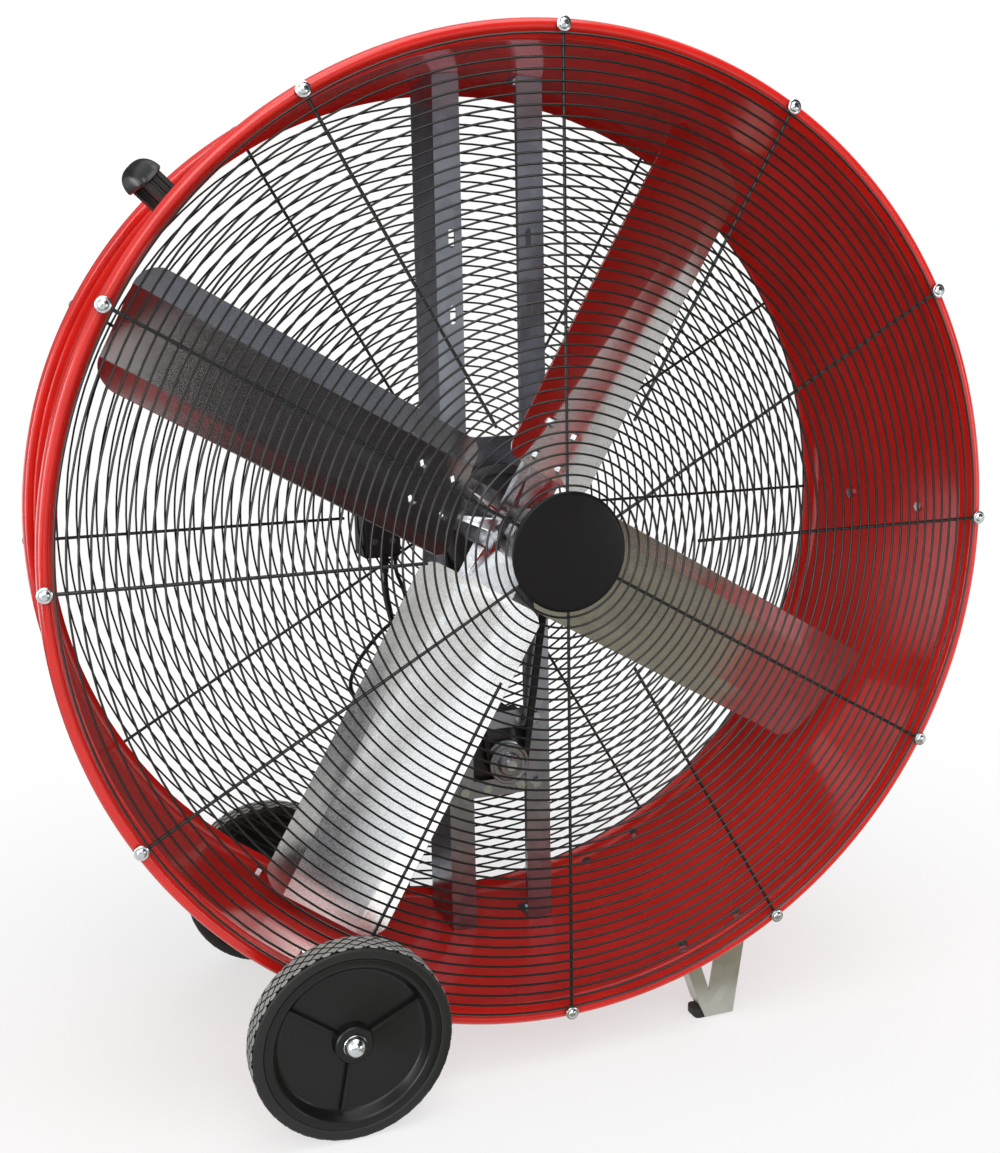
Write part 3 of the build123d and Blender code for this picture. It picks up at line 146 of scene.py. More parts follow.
# %% The group for grain
def make_grain():
    """A fine bump for moulded, cast and painted surfaces."""
    group, start, end = new_group("grain", [
        ("Place", "NodeSocketVector", None), ("Scale", "NodeSocketFloat", 400.0),
        ("Strength", "NodeSocketFloat", 0.3), ("Depth", "NodeSocketFloat", 0.0002)],
        [("Normal", "NodeSocketVector")])
    noise = add(group, "TexNoise")
    noise.inputs["Detail"].default_value = 3.0
    bump = add(group, "Bump")
    connect(group, (start, "Place", noise, "Vector"), (start, "Scale", noise, "Scale"),
            (noise, "Fac", bump, "Height"), (start, "Strength", bump, "Strength"),
            (start, "Depth", bump, "Distance"), (bump, "Normal", end, "Normal"))
    return group


grain = make_grain()
print("group", grain.name)


# %% The group for a zinc coat's patches
def make_spangle():
    """The crystal patches of a zinc coat: one shade and one roughness for each patch."""
    group, start, end = new_group("spangle", [
        ("Place", "NodeSocketVector", None), ("Scale", "NodeSocketFloat", 90.0),
        ("Dark", "NodeSocketColor", (0.4, 0.42, 0.45, 1.0)),
        ("Light", "NodeSocketColor", (0.7, 0.72, 0.75, 1.0)),
        ("Smooth", "NodeSocketFloat", 0.25), ("Rough", "NodeSocketFloat", 0.45)],
        [("Color", "NodeSocketColor"), ("Roughness", "NodeSocketFloat")])
    cells = add(group, "TexVoronoi")
    split = add(group, "SeparateColor")
    shade = add(group, "Mix", data_type="RGBA")
    rough = add(group, "MapRange")
    connect(group, (start, "Place", cells, "Vector"), (start, "Scale", cells, "Scale"),
            (cells, "Color", split, "Color"), (split, "Red", shade, "Factor"),
            (start, "Dark", shade, "A"), (start, "Light", shade, "B"),
            (split, "Green", rough, "Value"), (start, "Smooth", rough, "To Min"),
            (start, "Rough", rough, "To Max"), (shade, "Result", end, "Color"),
            (rough, "Result", end, "Roughness"))
    return group


spangle = make_spangle()
print("group", spangle.name)


# %% The group for dust
def make_dusty():
    """A colour with a thin film of dust on what faces up."""
    group, start, end = new_group("dusty", [
        ("Place", "NodeSocketVector", None), ("Color", "NodeSocketColor", (0.5, 0.5, 0.5, 1.0)),
        ("Dust", "NodeSocketColor", (0.35, 0.33, 0.3, 1.0)), ("Amount", "NodeSocketFloat", 0.15)],
        [("Color", "NodeSocketColor")])
    shape = add(group, "NewGeometry")
    split = add(group, "SeparateXYZ")
    upward = add(group, "MapRange")
    upward.inputs["From Min"].default_value = 0.3
    upward.inputs["From Max"].default_value = 1.0
    noise = add(group, "TexNoise")
    noise.inputs["Scale"].default_value = 22.0
    patchy = add(group, "Math", operation="MULTIPLY")
    amount = add(group, "Math", operation="MULTIPLY")
    mix = add(group, "Mix", data_type="RGBA")
    connect(group, (shape, "Normal", split, "Vector"), (split, "Z", upward, "Value"),
            (start, "Place", noise, "Vector"), (upward, "Result", patchy, 0),
            (noise, "Fac", patchy, 1), (patchy, "Value", amount, 0),
            (start, "Amount", amount, 1), (amount, "Value", mix, "Factor"),
            (start, "Color", mix, "A"), (start, "Dust", mix, "B"),
            (mix, "Result", end, "Color"))
    return group


dusty = make_dusty()
print("group", dusty.name)

# %% [markdown]
# ## The finishes
#
# Each material is one Principled shader with its constants on its own sockets. What changes over
# the surface, such as colour, roughness and normal, comes from the groups above, read at the
# piece's own Object coordinates, so the pattern stays put when the fan turns.

# %% A helper that starts a finish
DARKER_BY, FINER_BY = 0.86, 2.3    # the darker patches' share of the colour, and their fineness
SMOOTHEST = 0.02                   # no surface is smoother than this


def empty_material(name):
    """A material with only its output node. Returns its node tree and that node too."""
    material = bpy.data.materials.new(name)
    material.use_nodes = True
    tree = material.node_tree
    tree.nodes.clear()
    return material, tree, add(tree, "OutputMaterial")


def finish(name, color, roughness, metallic=0.0, spread=0.06, patches=9.0, grain_scale=500.0,
           grain_strength=0.15, grain_depth=0.0002, dust=0.0, **sockets):
    """A material with uneven colour and roughness and a fine grain. Returns its node tree too."""
    material, tree, out = empty_material(name)
    shader = add(tree, "BsdfPrincipled")
    place = add(tree, "TexCoord").outputs["Object"]
    tree.links.new(shader.outputs["BSDF"], out.inputs["Surface"])
    shader.inputs["Metallic"].default_value = metallic
    for title, value in sockets.items():
        shader.inputs[title.replace("_", " ")].default_value = value

    def group_node(group, **values):
        node = add(tree, "Group")
        node.node_tree = group
        tree.links.new(place, node.inputs["Place"])
        for title, value in values.items():
            node.inputs[title].default_value = value
        return node

    rough = group_node(uneven, Scale=patches, Low=max(SMOOTHEST, roughness - spread),
                       High=roughness + spread)
    tree.links.new(rough.outputs["Value"], shader.inputs["Roughness"])
    darker = tuple(DARKER_BY * c for c in color) + (1.0,)
    shade = group_node(uneven, Scale=patches * FINER_BY, Low=0.0, High=1.0)
    mix = add(tree, "Mix", data_type="RGBA")
    mix.inputs["A"].default_value = darker
    mix.inputs["B"].default_value = tuple(color) + (1.0,)
    tree.links.new(shade.outputs["Value"], mix.inputs["Factor"])
    color_out = mix.outputs["Result"]
    if dust:
        film = group_node(dusty, Amount=dust)
        tree.links.new(color_out, film.inputs["Color"])
        color_out = film.outputs["Color"]
    tree.links.new(color_out, shader.inputs["Base Color"])
    if grain_strength:
        relief = group_node(grain, Scale=grain_scale, Strength=grain_strength, Depth=grain_depth)
        tree.links.new(relief.outputs["Normal"], shader.inputs["Normal"])
    return material, tree, shader, group_node


def spangled(made, scale, dark, light, smooth, rough):
    """Gives a made metal finish crystal patches in place of its even colour and roughness."""
    material, tree, shader, group_node = made
    patches = group_node(spangle, Scale=scale, Dark=dark + (1.0,), Light=light + (1.0,),
                         Smooth=smooth, Rough=rough)
    connect(tree, (patches, "Color", shader, "Base Color"),
            (patches, "Roughness", shader, "Roughness"))
    return material


def zinc_coat(name, dark, light, scale, smooth, rough, ripple):
    """A zinc-coated sheet: crystal patches, a slow ripple and a metal shader."""
    made = finish(name, light, smooth, metallic=1.0, grain_scale=60.0, grain_strength=ripple,
                  grain_depth=0.0006)
    return spangled(made, scale, dark, light, smooth, rough)


# %% [markdown]
# The blades are bright rolled sheet, almost a mirror, only smeared. Very fine patches of tone and
# of roughness smear what it shows, and a slow ripple bends it a little.

# %% The blades' finish
blade_metal = spangled(
    finish("rolled_blade_sheet", (0.62, 0.61, 0.59), 0.16, metallic=1.0, spread=0.02,
           patches=14.0, grain_scale=26.0, grain_strength=0.015, grain_depth=0.0008),
    420.0, (0.58, 0.575, 0.56), (0.65, 0.64, 0.625), 0.15, 0.19)
print("blade finish", blade_metal.name)

# %% Make every finish
finishes = {
    "red_paint": finish("red_enamel", (0.66, 0.016, 0.010), 0.17, spread=0.04, patches=6.0,
                        grain_scale=70.0, grain_strength=0.03, grain_depth=0.0004, dust=0.04)[0],
    "black_wire": finish("black_wire_enamel", (0.009, 0.013, 0.011), 0.28, grain_strength=0.0,
                         Specular_IOR_Level=0.36)[0],
    "badge_black": finish("black_disc_enamel", (0.0065, 0.0055, 0.006), 0.30, spread=0.05,
                          patches=25.0, grain_scale=700.0, grain_strength=0.04, dust=0.02,
                          Specular_IOR_Level=0.14)[0],
    "galvanised": zinc_coat("galvanised_sheet", (0.29, 0.30, 0.34), (0.36, 0.375, 0.42), 60.0,
                            0.28, 0.33, 0.05),
    "zinc": finish("bright_zinc", (0.62, 0.64, 0.65), 0.20, metallic=1.0, spread=0.07, patches=60.0,
                   grain_scale=900.0, grain_strength=0.05)[0],
    "cast_housing": finish("painted_casting", (0.05, 0.052, 0.056), 0.45, grain_scale=260.0,
                           grain_strength=0.5, grain_depth=0.0006)[0],
    "motor_paint": finish("motor_enamel", (0.028, 0.026, 0.027), 0.34, grain_scale=120.0,
                          grain_strength=0.12, dust=0.15, Specular_IOR_Level=0.35)[0],
    "belt_rubber": finish("belt_rubber", (0.012, 0.011, 0.011), 0.62, grain_scale=900.0,
                          grain_strength=0.4, dust=0.1, Specular_IOR_Level=0.2)[0],
    "steel": finish("ground_steel", (0.56, 0.56, 0.57), 0.27, metallic=1.0, patches=40.0)[0],
    "black_rubber": finish("foot_rubber", (0.016, 0.016, 0.016), 0.6, grain_scale=700.0,
                           grain_strength=0.3, dust=0.2, Specular_IOR_Level=0.3)[0],
    "black_plastic": finish("handle_plastic", (0.012, 0.014, 0.013), 0.30, grain_scale=1400.0,
                            grain_strength=0.2, grain_depth=0.00015, dust=0.05,
                            Specular_IOR_Level=0.35)[0],
    "box_plastic": finish("box_plastic", (0.03, 0.031, 0.034), 0.46, grain_scale=1200.0,
                          grain_strength=0.3, grain_depth=0.00015, dust=0.1,
                          Specular_IOR_Level=0.35)[0],
    "cord_rubber": finish("cord_jacket", (0.011, 0.011, 0.011), 0.45, grain_scale=600.0,
                          grain_strength=0.2, Specular_IOR_Level=0.3)[0],
    "hub_steel": finish("zinc_hub", (0.50, 0.51, 0.53), 0.22, metallic=1.0, spread=0.08,
                        patches=45.0, grain_scale=300.0, grain_strength=0.15)[0],
    "blade_sheet": blade_metal,
    "pulley_metal": finish("turned_pulley", (0.30, 0.31, 0.34), 0.30, metallic=1.0,
                           patches=30.0)[0],
    "tyre_rubber": finish("tyre_rubber", (0.0125, 0.014, 0.0125), 0.44, grain_scale=500.0,
                          grain_strength=0.25, Specular_IOR_Level=0.3)[0],
    "wheel_plastic": finish("wheel_plastic", (0.0070, 0.0076, 0.0068), 0.28, grain_scale=900.0,
                            grain_strength=0.1, Specular_IOR_Level=0.26)[0],
}
# a pale grey for the tops of the tread blocks and the shoulder lugs
pale_tread_tops = finish("pale_tread_tops", (0.30, 0.305, 0.285), 0.7, grain_scale=700.0,
                    grain_strength=0.4)[0]
leg_metal = zinc_coat("leg_sheet", (0.40, 0.392, 0.355), (0.48, 0.47, 0.425), 45.0,
                      0.30, 0.36, 0.06)
for node, part in frame["nodes"].items():
    part.data.materials.clear()
    part.data.materials.append(finishes[slot_of[node]])
print("finishes", len(finishes))

# %% [markdown]
# ## From a bmesh to a piece
#
# A bmesh is Blender's editable mesh. When its shape is done, doubles are merged, faces are turned
# outwards, and it becomes an object at the origin with its place in its mesh. Each piece then
# rides on a body of the frame, hides the measured nodes it stands for, and gets its finish.

# %% Helpers from a bmesh to a piece
MERGE_GAP = 0.000002               # points closer than this, in metres, are one point
FLAT_ANGLE, EDGE_ANGLE = 0.8, 40.0  # degrees: faces this flat are joined, edges past this eased


def object_of(name, bm, material):
    """An object at the origin from a finished bmesh, with one material."""
    mesh = bpy.data.meshes.new(name)
    bm.to_mesh(mesh)
    bm.free()
    mesh.materials.append(material)
    made = bpy.data.objects.new(name, mesh)
    bpy.context.scene.collection.objects.link(made)
    return made


def make_piece(name, bm, body, slot, replaces=(), sharp=35.0, merge=True):
    """Turns a finished bmesh into a piece on a body, with smooth faces and sharp edges."""
    if merge:
        bmesh.ops.remove_doubles(bm, verts=bm.verts, dist=MERGE_GAP)
        bmesh.ops.recalc_face_normals(bm, faces=bm.faces)
    piece = object_of(name, bm, finishes[slot])
    piece.data.polygons.foreach_set("use_smooth", [True] * len(piece.data.polygons))
    piece.data.set_sharp_from_angle(angle=math.radians(sharp))
    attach(piece, body)
    if replaces:
        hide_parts(*replaces)
    return piece


# %% Helpers for round shapes
FULL_TURN = 2 * math.pi


def spun(bm, outline, steps, centre=(0.0, 0.0, AXIS_H), closed=True):
    """Spins an outline of (radius, y) in millimetres about an axis along Y through centre."""
    x, y, z = centre
    verts = [bm.verts.new((x + r * MM, y + along * MM, z)) for r, along in outline]
    pairs = list(zip(verts, verts[1:])) + ([(verts[-1], verts[0])] if closed else [])
    edges = [bm.edges.new(pair) for pair in pairs]
    bmesh.ops.spin(bm, geom=verts + edges, cent=centre, axis=(0, 1, 0), angle=FULL_TURN,
                   steps=steps, use_merge=True)


def rings(bm, radii, y, wire_r, steps, centre=(0.0, 0.0, AXIS_H), sides=6):
    """Wire rings about an axis along Y, spun together. Sizes in millimetres, centre in metres."""
    verts = []
    for radius in radii:
        place = Matrix.Translation((centre[0] + radius * MM, centre[1] + y * MM, centre[2]))
        made = bmesh.ops.create_circle(bm, cap_ends=False, segments=sides, radius=wire_r * MM,
                                       matrix=place)
        verts += made["verts"]
    edges = list({edge for vert in verts for edge in vert.link_edges})
    bmesh.ops.spin(bm, geom=verts + edges, cent=centre, axis=(0, 1, 0), angle=FULL_TURN,
                   steps=steps, use_merge=True)


def at_angle(angle, radius, y, centre=(0.0, 0.0, AXIS_H)):
    """A point at an angle seen from the front, in metres, from millimetres."""
    a = math.radians(angle)
    return Vector((centre[0] + radius * MM * math.cos(a), centre[1] + y * MM,
                   centre[2] + radius * MM * math.sin(a)))


def bar(bm, start, end, radius, sides=8):
    """A round bar between two points in metres, radius in metres."""
    run = end - start
    turn = run.to_track_quat("Z", "Y").to_matrix().to_4x4()
    place = Matrix.Translation((start + end) / 2) @ turn
    return bmesh.ops.create_cone(bm, cap_ends=True, segments=sides, radius1=radius, radius2=radius,
                                 depth=run.length, matrix=place)


# %% A helper for parts that keep their measured shape
def refined(node, bevel=0.0):
    """A merged copy of a measured node, with its flat faces joined and its edges eased."""
    bm = bmesh.new()
    bm.from_mesh(frame["nodes"][node].data)
    bmesh.ops.remove_doubles(bm, verts=bm.verts, dist=MERGE_GAP)
    bmesh.ops.dissolve_limit(bm, angle_limit=math.radians(FLAT_ANGLE), verts=bm.verts,
                             edges=bm.edges)
    piece = make_piece(node + "_finished", bm, body_of[node], slot_of[node], [node], merge=False)
    if bevel:
        eased = piece.modifiers.new("eased edges", "BEVEL")
        eased.width = bevel * MM
        eased.segments = 2
        eased.limit_method = "ANGLE"
        eased.angle_limit = math.radians(EDGE_ANGLE)
        eased.harden_normals = True
    return piece


# %% [markdown]
# ## The cords
#
# The power cord hangs from the switch box behind the rear guard, bends on to the floor and runs
# to a coil that is put away behind the fan. A real cord is one smooth curve, so it is one NURBS
# spline whose control points are the route's points. The coil's turns are more points of the same
# spline, from a formula: half turns that close in on the floor, one that climbs at the middle,
# and half turns that open out again on top.

# %% A smooth cord from its route
def cord_curve(name, points, diameter, body="root", slot="cord_rubber"):
    """A round cord along one smooth spline. Points in metres."""
    curve = bpy.data.curves.new(name, "CURVE")
    curve.dimensions = "3D"
    curve.resolution_u = 6
    curve.bevel_depth = diameter / 2
    curve.bevel_resolution = 3
    curve.use_fill_caps = True
    spline = curve.splines.new("NURBS")
    spline.points.add(len(points) - 1)
    for index, point in enumerate(points):
        spline.points[index].co = (*point, 1.0)
    spline.order_u = 3
    spline.use_endpoint_u = True
    curve.materials.append(finishes[slot])
    cord = bpy.data.objects.new(name, curve)
    bpy.context.scene.collection.objects.link(cord)
    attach(cord, body)
    return cord


# %% The power cord and its coil
power_route = [
    (-119, 231.6, 610), (-119, 231.6, 580), (-111, 232.5, 540), (-103, 233, 480), (-99, 234, 405),
    (-101, 233, 325), (-99, 235, 245), (-95, 236, 170), (-98, 237, 105), (-97, 237.5, 66),
    (-96, 238, 39.3), (-83, 238.5, 16.8), (-60.5, 239, 3.8), (-18, 243.5, 3.8), (24.9, 241, 3.8),
    (47.4, 254, 3.8), (60.4, 276.5, 3.8), (60.4, 302.4, 3.8)]
COIL_X, COIL_Y = 120.0, 310.0
FLOOR_LAYER, UPPER_LAYER = 3.8, 12.0
POINTS_A_TURN, HALF_TURNS = 16, 13
CLIMB_AFTER = 6.0                  # half turns on the floor before the cord climbs
TAIL_STEP = 9.0
half_turn_radii = [59.6, 55.3, 51.0, 46.7, 42.4, 38.1, 33.8, 29.5, 42.4, 38.1, 51.0, 46.7, 59.6,
                   55.3]
outset = 1 / math.cos(math.pi / POINTS_A_TURN)
coil_points = []
for step in range(1, HALF_TURNS * POINTS_A_TURN // 2 + 1):
    turns = step / (POINTS_A_TURN / 2)
    near = min(int(turns), HALF_TURNS - 1)
    this_r, next_r = half_turn_radii[near], half_turn_radii[near + 1]
    radius = outset * (this_r + (next_r - this_r) * (turns - near))
    climb = min(max(turns - CLIMB_AFTER, 0.0), 1.0)
    angle = math.pi * turns
    coil_points.append((COIL_X - radius * math.cos(angle), COIL_Y + radius * math.sin(angle),
                        FLOOR_LAYER + (UPPER_LAYER - FLOOR_LAYER) * climb))
tail_x = COIL_X + half_turn_radii[-1]
tail = [(tail_x, COIL_Y - TAIL_STEP * count, UPPER_LAYER) for count in (1, 2)]
power_points = [tuple(v * MM for v in p) for p in power_route + coil_points + tail]
power_cord = cord_curve("power_cord_line", power_points, 0.0076)
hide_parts("power_cord", "cord_coil")
plug_piece = refined("plug", bevel=0.5)
print("power cord points", len(power_points))

# %% [markdown]
# A flat strap holds the coil's turns together at one side. Its outline goes round the bundle and
# is extruded to the strap's width, and a Solidify modifier gives it its thickness.

# %% Strap the coil
STRAP_WIDTH, STRAP_T = 9.0, 1.1
bm = bmesh.new()
bundle = [(65.2, 3.0), (65.2, 13.4), (63.2, 16.0), (59.6, 16.6), (42.6, 16.6), (38.6, 15.6),
          (30.6, 8.4), (29.0, 5.6), (29.0, 3.0), (30.6, 1.2), (63.6, 1.2)]
loop = [bm.verts.new(((COIL_X - r) * MM, (COIL_Y - STRAP_WIDTH / 2) * MM, z * MM))
        for r, z in bundle]
edges = [bm.edges.new((loop[i - 1], loop[i])) for i in range(len(loop))]
made = bmesh.ops.extrude_edge_only(bm, edges=edges)
moved = [part for part in made["geom"] if isinstance(part, bmesh.types.BMVert)]
bmesh.ops.translate(bm, verts=moved, vec=(0.0, STRAP_WIDTH * MM, 0.0))
strap = make_piece("coil_strap", bm, "root", "cord_rubber", sharp=50.0)
wall = strap.modifiers.new("strap thickness", "SOLIDIFY")
wall.thickness = STRAP_T * MM
wall.offset = 1.0
print("strap round the coil")

# %% [markdown]
# The lead to the motor leaves the box beside the power cord, and comes down in a slack loop to the
# motor's side.

# %% The motor's lead in its slack loop
lead_route = [
    (-106, 219.6, 631), (-106, 219.6, 613), (-97, 219.5, 592), (-89, 219.5, 565),
    (-104, 219.5, 540), (-129, 219.5, 524), (-152, 219.5, 501), (-173, 219.5, 474),
    (-185, 219.5, 447), (-182, 219.5, 427), (-168, 219.5, 412), (-148, 219.5, 411),
    (-129, 219.5, 417), (-104, 220, 412), (-76, 220, 395), (-50.8, 220, 378.9),
    (-38.9, 212, 371.8), (-32, 198.1, 367.7), (-32, 185, 367.7)]
motor_lead = cord_curve("motor_lead_line", [tuple(v * MM for v in p) for p in lead_route], 0.0062)
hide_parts("motor_lead")
print("motor lead points", len(lead_route))

# %% [markdown]
# ## The guards
#
# Each guard has forty-one welded rings 13.5 mm apart and one more near the middle. Behind them are
# twelve spokes, every second one long enough to reach that one. A spoke ends in an eye under a
# screw. The rings' round sections are laid side by side, and one spin makes all rings together.

# %% Build one guard
RIM_Y = 203.5
BEAD_R = 636.0                     # where the screws sit, at the middle of the rolled edge
SPOKE_R, RING_R, WELD_SINK = 2.25, 1.55, 0.55
SHORT_SPOKE_FROM, LONG_SPOKE_FROM = 187.0, 52.0
EYE_R, EYE_WIRE_R, EYE_GAP = 5.9, 2.1, 6.5
RINGS, RING_PITCH, FIRST_RING_R, MIDDLE_RING_R = 41, 13.5, 85.0, 64.75
SPOKE_PAIRS, SCREWS = 6, 12


def copies_round(bm, made, count, centre=(0.0, 0.0, AXIS_H)):
    """Repeats what was made, count times in all, evenly about an axis along Y."""
    verts = made["verts"]
    edges = {edge for vert in verts for edge in vert.link_edges}
    faces = {face for vert in verts for face in vert.link_faces}
    bmesh.ops.spin(bm, geom=verts + list(edges) + list(faces), cent=centre, axis=(0, 1, 0),
                   angle=FULL_TURN * (count - 1) / count, steps=count - 1, use_duplicate=True)


def guard(name, way, node):
    """One guard on the rim at way * RIM_Y, its rings on the outside of its spokes."""
    bm = bmesh.new()
    spoke_y = way * (RIM_Y + SPOKE_R)
    ring_y = way * (RIM_Y + 2 * SPOKE_R - WELD_SINK + RING_R)
    for angle, inner in ((0.0, SHORT_SPOKE_FROM), (30.0, LONG_SPOKE_FROM)):
        made = bar(bm, at_angle(angle, inner, spoke_y),
                   at_angle(angle, BEAD_R - EYE_GAP, spoke_y), SPOKE_R * MM)
        copies_round(bm, made, SPOKE_PAIRS)
    before = len(bm.verts)
    rings(bm, [EYE_R], 0.0, EYE_WIRE_R, steps=14, centre=tuple(at_angle(0.0, BEAD_R, spoke_y)))
    bm.verts.ensure_lookup_table()
    copies_round(bm, {"verts": bm.verts[before:]}, SCREWS)
    radii = [MIDDLE_RING_R] + [FIRST_RING_R + RING_PITCH * index for index in range(RINGS)]
    rings(bm, radii, ring_y, RING_R, steps=120)
    return make_piece(name, bm, "root", "black_wire", [node], sharp=60.0)


for name, way, node in (("front_guard_wires", -1, "front_guard"),
                        ("rear_guard_wires", 1, "rear_guard")):
    made = guard(name, way, node)
    print(name, "faces", len(made.data.polygons))

# %% [markdown]
# ## The guards' screws
#
# Bright zinc screws with a washer face and a domed head hold each eye to the rolled edge. One is
# spun from an outline and repeated round the rim.

# %% Spin the screws
SHANK_R, SHANK_LENGTH = 2.5, 16.0


def guard_screws(name, way, node):
    """The twelve screws of one guard."""
    bm = bmesh.new()
    seat = RIM_Y + 2 * SPOKE_R
    head = [(0.0, 4.1), (2.6, 3.9), (4.9, 3.1), (6.2, 1.9), (6.4, 1.2), (8.9, 1.1), (9.3, 0.6),
            (9.1, 0.0)]
    outline = [(r, seat + y) for r, y in head]
    outline += [(SHANK_R, seat), (SHANK_R, seat - SHANK_LENGTH), (0.0, seat - SHANK_LENGTH)]
    spun(bm, [(r, way * y) for r, y in outline], steps=20, centre=tuple(at_angle(0.0, BEAD_R, 0.0)),
         closed=False)
    copies_round(bm, {"verts": list(bm.verts)}, SCREWS)
    return make_piece(name, bm, "root", "zinc", [node], sharp=50.0)


guard_screws("front_guard_screw_heads", -1, "front_guard_screws")
guard_screws("rear_guard_screw_heads", 1, "rear_guard_screws")
print("screws placed")

# %% [markdown]
# ## The round plate in the middle
#
# A black disc covers the middle of the front guard. It is bare, with a rounded edge.

# %% Spin the disc
bm = bmesh.new()
disc = [(0, -213.0), (72.5, -213.0), (74.6, -212.7), (76.3, -212.1), (77.5, -211.2),
        (78.0, -210.4), (77.6, -210.0), (0, -210.0)]
spun(bm, disc, steps=96, closed=False)
make_piece("middle_disc", bm, "root", "badge_black", ["hub_badge"], sharp=50.0)
print("middle disc spun")

# %% [markdown]
# ## The drum
#
# The drum is one rolled sheet. Each end flares out and is rolled over into a round edge, and a
# narrow lip stands inwards at the back. The sheet's section is one closed outline and the lip's is
# another. Both are spun, which keeps the roll smooth, so the paint shows long clean reflections.

# %% Spin the drum
ROLL_R, ROLL_Y = 8.0, 195.5        # the rolled edge's own radius, and its middle along Y
ROLL_FROM, ROLL_SWEEP, ROLL_STEPS = 165.0, 315.0, 16
DRUM_STEPS = 256


def rolled_end(way):
    """Outline of one end from the wall's inside, round the rolled edge, to its outside."""
    flare_in = [(621.0, 180.0), (621.1, 183.2), (621.8, 186.4), (623.4, 189.6), (625.4, 192.5),
                (627.1, 195.2)]
    roll = []
    for step in range(ROLL_STEPS + 1):
        a = math.radians(ROLL_FROM - step * ROLL_SWEEP / ROLL_STEPS)
        roll.append((BEAD_R + ROLL_R * math.cos(a), ROLL_Y + ROLL_R * math.sin(a)))
    flare_out = [(627.2, 190.6), (624.8, 188.0), (623.2, 185.0), (622.6, 182.0)]
    return [(r, way * y) for r, y in flare_in + roll + flare_out]


bm = bmesh.new()
front_end, rear_end = rolled_end(-1), rolled_end(1)
spun(bm, front_end + rear_end[::-1], DRUM_STEPS)
lip = [(621.2, 177.5), (619.9, 184.0), (617.4, 190.6), (613.4, 196.6), (609.0, 200.6),
       (609.0, 202.5), (614.6, 198.6), (619.0, 192.0), (621.4, 185.0), (622.2, 178.0)]
spun(bm, lip, DRUM_STEPS)
drum = make_piece("drum_sheet", bm, "root", "red_paint", ["drum_shell"], sharp=40.0)
print("drum faces", len(drum.data.polygons))

# %% [markdown]
# ## The wheels
#
# A wheel is a moulded plastic disc in a rubber tyre. The tyre's section is spun, then rows of
# diamond blocks stand on its tread, each row turned by half a step against the one beside it, with
# rounder lugs along both shoulders. A block is a cone with its tip cut off, which takes few faces.
# The tops of the blocks and of the shoulder lugs are pale grey, in a finish of their own.

# %% One tyre with its blocks
WHEEL_X, WHEEL_Y = -0.320986, 0.2625   # metres; the sizes below are millimetres
WHEEL_R = 127.0
BLOCKS_ROUND, BLOCK_ROWS = 40, 4
ROW_STEP, ROW_R = 7.0, 125.0
SHOULDER_Y, SHOULDER_R, SHOULDER_LEAN, LUG_SIDES = 14.9, 124.7, 14.0, 10
BLOCK_DEPTH, TREAD_TOP = 3.4, 126.2


def tyre(name, way, node):
    """A tyre with diamond blocks; way is -1 for the front wheel."""
    bm = bmesh.new()
    centre = (WHEEL_X, way * WHEEL_Y, WHEEL_R * MM)
    half = [(112.0, -18.2), (112.6, -19.0), (114.0, -19.6), (118.0, -19.95), (122.0, -19.9),
            (124.0, -19.4), (125.0, -18.4), (124.8, -17.4), (123.2, -16.6), (123.0, -10.0)]
    spun(bm, half + [(r, -y) for r, y in half[::-1]], steps=96, centre=centre)
    # each row: radius, y, turned or not, lean, sides, foot's and top's radius, stretch
    rows = [(ROW_R, ROW_STEP * (row - (BLOCK_ROWS - 1) / 2), row % 2, 0.0, 4, 6.1, 5.5, 1.42)
            for row in range(BLOCK_ROWS)]
    rows += [(SHOULDER_R, side * SHOULDER_Y, (side < 0), -SHOULDER_LEAN * side, LUG_SIDES,
              3.2, 2.8, 2.1) for side in (-1, 1)]
    for radius, y, shifted, lean, sides, foot_r, top_r, stretch in rows:
        angle = 180.0 * shifted / BLOCKS_ROUND
        place = (Matrix.Translation(at_angle(angle, radius, y, centre))
                 @ Matrix.Rotation(math.radians(90.0 - angle), 4, "Y")
                 @ Matrix.Rotation(math.radians(lean), 4, "X")
                 @ Matrix.Diagonal((stretch, 1.0, 1.0, 1.0)))
        block = bmesh.ops.create_cone(bm, cap_ends=True, segments=sides, radius1=foot_r * MM,
                                      radius2=top_r * MM, depth=BLOCK_DEPTH * MM, matrix=place)
        copies_round(bm, block, BLOCKS_ROUND, centre)
    piece = make_piece(name, bm, f"{node.split('_')[0]}_wheel", "tyre_rubber", [node], sharp=32.0)
    piece.data.materials.append(pale_tread_tops)
    for polygon in piece.data.polygons:
        out = math.hypot(polygon.center.x - centre[0], polygon.center.z - centre[2])
        if out > TREAD_TOP * MM or len(polygon.vertices) == LUG_SIDES:
            polygon.material_index = 1
    return piece


for name, way, node in (("front_wheel_tyre", -1, "front_tyre"),
                        ("rear_wheel_tyre", 1, "rear_tyre")):
    made = tyre(name, way, node)
    print(name, "faces", len(made.data.polygons))

# %% [markdown]
# The disc has a rounded rim, a wall that slopes down to a flat web, three thin ribs and a hub
# boss. All of it but the ribs is round, so it is one spun outline. The ribs are slim blocks
# that run from the boss to the wall.

# %% One wheel disc
RIB_ANGLES = (144.0, 25.0, -101.0)
RIB_R, RIB_Y = 60.0, 7.4           # the middle of a rib
RIB_LENGTH, RIB_DEPTH, RIB_WIDTH, RIB_EASE = 72.0, 7.4, 3.5, 0.8


